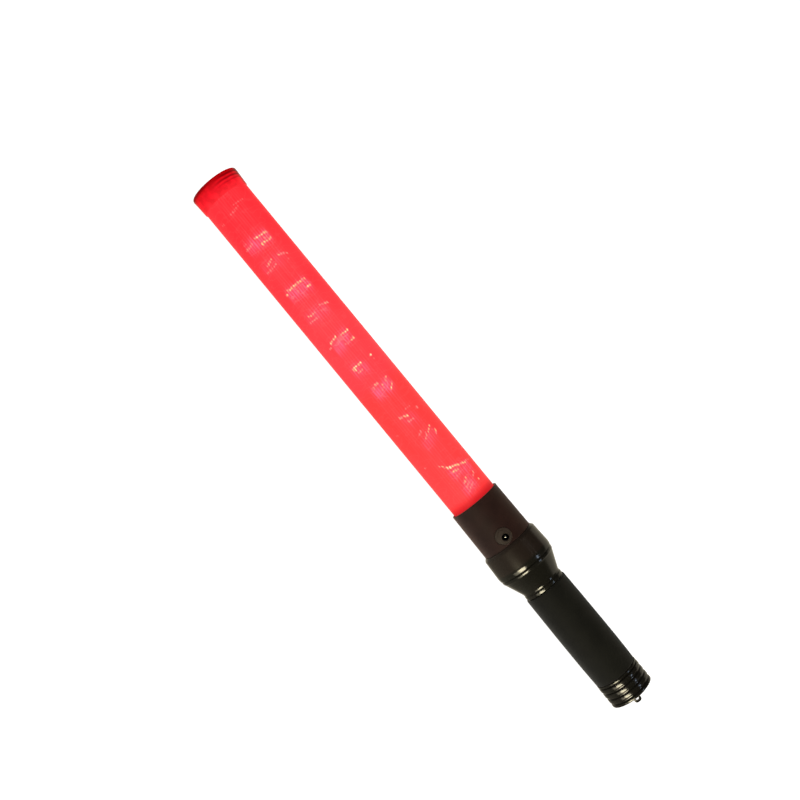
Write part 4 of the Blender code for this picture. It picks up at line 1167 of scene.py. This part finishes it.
def build_tail_seal(material):
    low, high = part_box("tail_seal")
    centre = (low.x + high.x) / 2.0
    middle = SEAL_GROOVE_RADIUS + GAP + SEAL_WIRE
    outline = []
    for step in range(SEAL_STEPS):
        angle = 2.0 * math.pi * step / SEAL_STEPS
        outline.append((centre + SEAL_WIRE * math.cos(angle), middle + SEAL_WIRE * math.sin(angle)))
    seal = turned("tail_o_ring", outline)
    stands_for(seal, "tail_seal", material)


# ------------------------ inner pieces of the frame

def finish_inner_nodes(materials):
    slots = {row["node"]: row["material_slot"] for row in frame["record"]["subparts"]}
    for name, node in frame["nodes"].items():
        if node.hide_render:
            continue
        material = materials[slots[name]]
        if node.material_slots:
            for place in node.material_slots:
                place.material = material
        else:
            node.data.materials.append(material)


# ------------------------ stage

def aim(obj, start):
    """Put a light at a point of the rolled frame, facing its origin, its width across the baton."""
    back = Vector(start).normalized()
    wide = Vector((0.0, 1.0, 0.0))
    wide = (wide - back * wide.dot(back)).normalized()
    turn = Matrix((wide, back.cross(wide), back)).transposed().to_4x4()
    obj.matrix_world = ROLL_FRAME @ Matrix.Translation(start) @ turn


def build_camera():
    camera = bpy.data.objects.new("camera", bpy.data.cameras.new("camera"))
    camera.data.lens = CAMERA_LENS
    camera.data.sensor_width = CAMERA_SENSOR
    camera.data.clip_end = CAMERA_REACH
    stand = Matrix.Translation((CAMERA_ALONG, CAMERA_ACROSS, CAMERA_DISTANCE))
    camera.matrix_world = ROLL_FRAME @ stand @ Matrix.Rotation(CAMERA_TURN, 4, "Z")
    bpy.context.scene.collection.objects.link(camera)
    bpy.context.scene.camera = camera


def build_lights():
    for name, start, size, power, colour, mirrored in SOFTBOXES:
        light = bpy.data.lights.new(name, "AREA")
        light.shape = "ELLIPSE"
        light.size, light.size_y = size
        light.energy = power
        light.color = colour
        softbox = bpy.data.objects.new(name, light)
        softbox.visible_glossy = mirrored
        bpy.context.scene.collection.objects.link(softbox)
        aim(softbox, start)


def build_world():
    """A studio with a dim ceiling, a bright backdrop that ends part way up, and a pale table."""
    world = bpy.data.worlds.new("studio")
    bpy.context.scene.world = world
    world.use_nodes = True
    studio = Nodes(world.node_tree)
    split = studio.add("ShaderNodeSeparateXYZ")
    studio.feed(split, studio.add("ShaderNodeTexCoord").outputs["Generated"])

    def faded(axis, *numbers):
        return studio.ranged(split.outputs[axis], *numbers)

    backdrop = studio.product(faded(*BACKDROP_BY_HEIGHT), faded(*BACKDROP_BY_DEPTH),
                              faded(*BACKDROP_BY_LENGTH))
    light = studio.calc("ADD", backdrop, faded(*ROOM_BY_HEIGHT))
    room = studio.feed(studio.tree.nodes["Background"], STUDIO_TINT, light)
    show_pale_wall(studio, room)


def show_pale_wall(studio, room):
    """What the eye sees beyond the table is a plain pale wall; the studio itself only lights."""
    wall = studio.feed(studio.add("ShaderNodeBackground"), WHITE, PALE)
    seen = studio.add("ShaderNodeLightPath").outputs["Is Camera Ray"]
    either = studio.feed(studio.add("ShaderNodeMixShader"), seen, room, wall)
    studio.put(studio.tree.nodes["World Output"].inputs["Surface"], either)


def build_floor():
    """A wide sheet of pale paper that glows a little, so that it stays even."""
    bm = bmesh.new()
    bmesh.ops.create_grid(bm, x_segments=1, y_segments=1, size=FLOOR_HALF)
    floor = make_piece("floor", bm, Matrix.Identity(4))
    paper = bpy.data.materials.new("pale_paper")
    paper.use_nodes = True
    shader = paper.node_tree.nodes["Principled BSDF"]
    shader.inputs["Base Color"].default_value = FLOOR_GREY
    shader.inputs["Roughness"].default_value = FLOOR_ROUGHNESS
    shader.inputs["Emission Color"].default_value = WHITE
    shader.inputs["Emission Strength"].default_value = PALE
    floor.data.materials.append(paper)
    floor.visible_glossy = False


def main():
    materials = make_materials()
    build_tip_cap()
    build_light_tube()
    build_collar_sleeve(materials["collar_black"])
    build_jack(materials)
    build_button(materials)
    build_head_ring(materials["gloss_black"])
    build_handle_shell(materials["gloss_black"])
    build_grip_sleeve(materials["grip_black"])
    build_tail_cap(materials["gloss_black"])
    build_tail_seal(materials["seal_rubber"])
    finish_inner_nodes(materials)
    build_floor()
    build_world()
    build_lights()
    build_camera()
    bpy.context.scene.view_settings.view_transform = "Standard"


main()
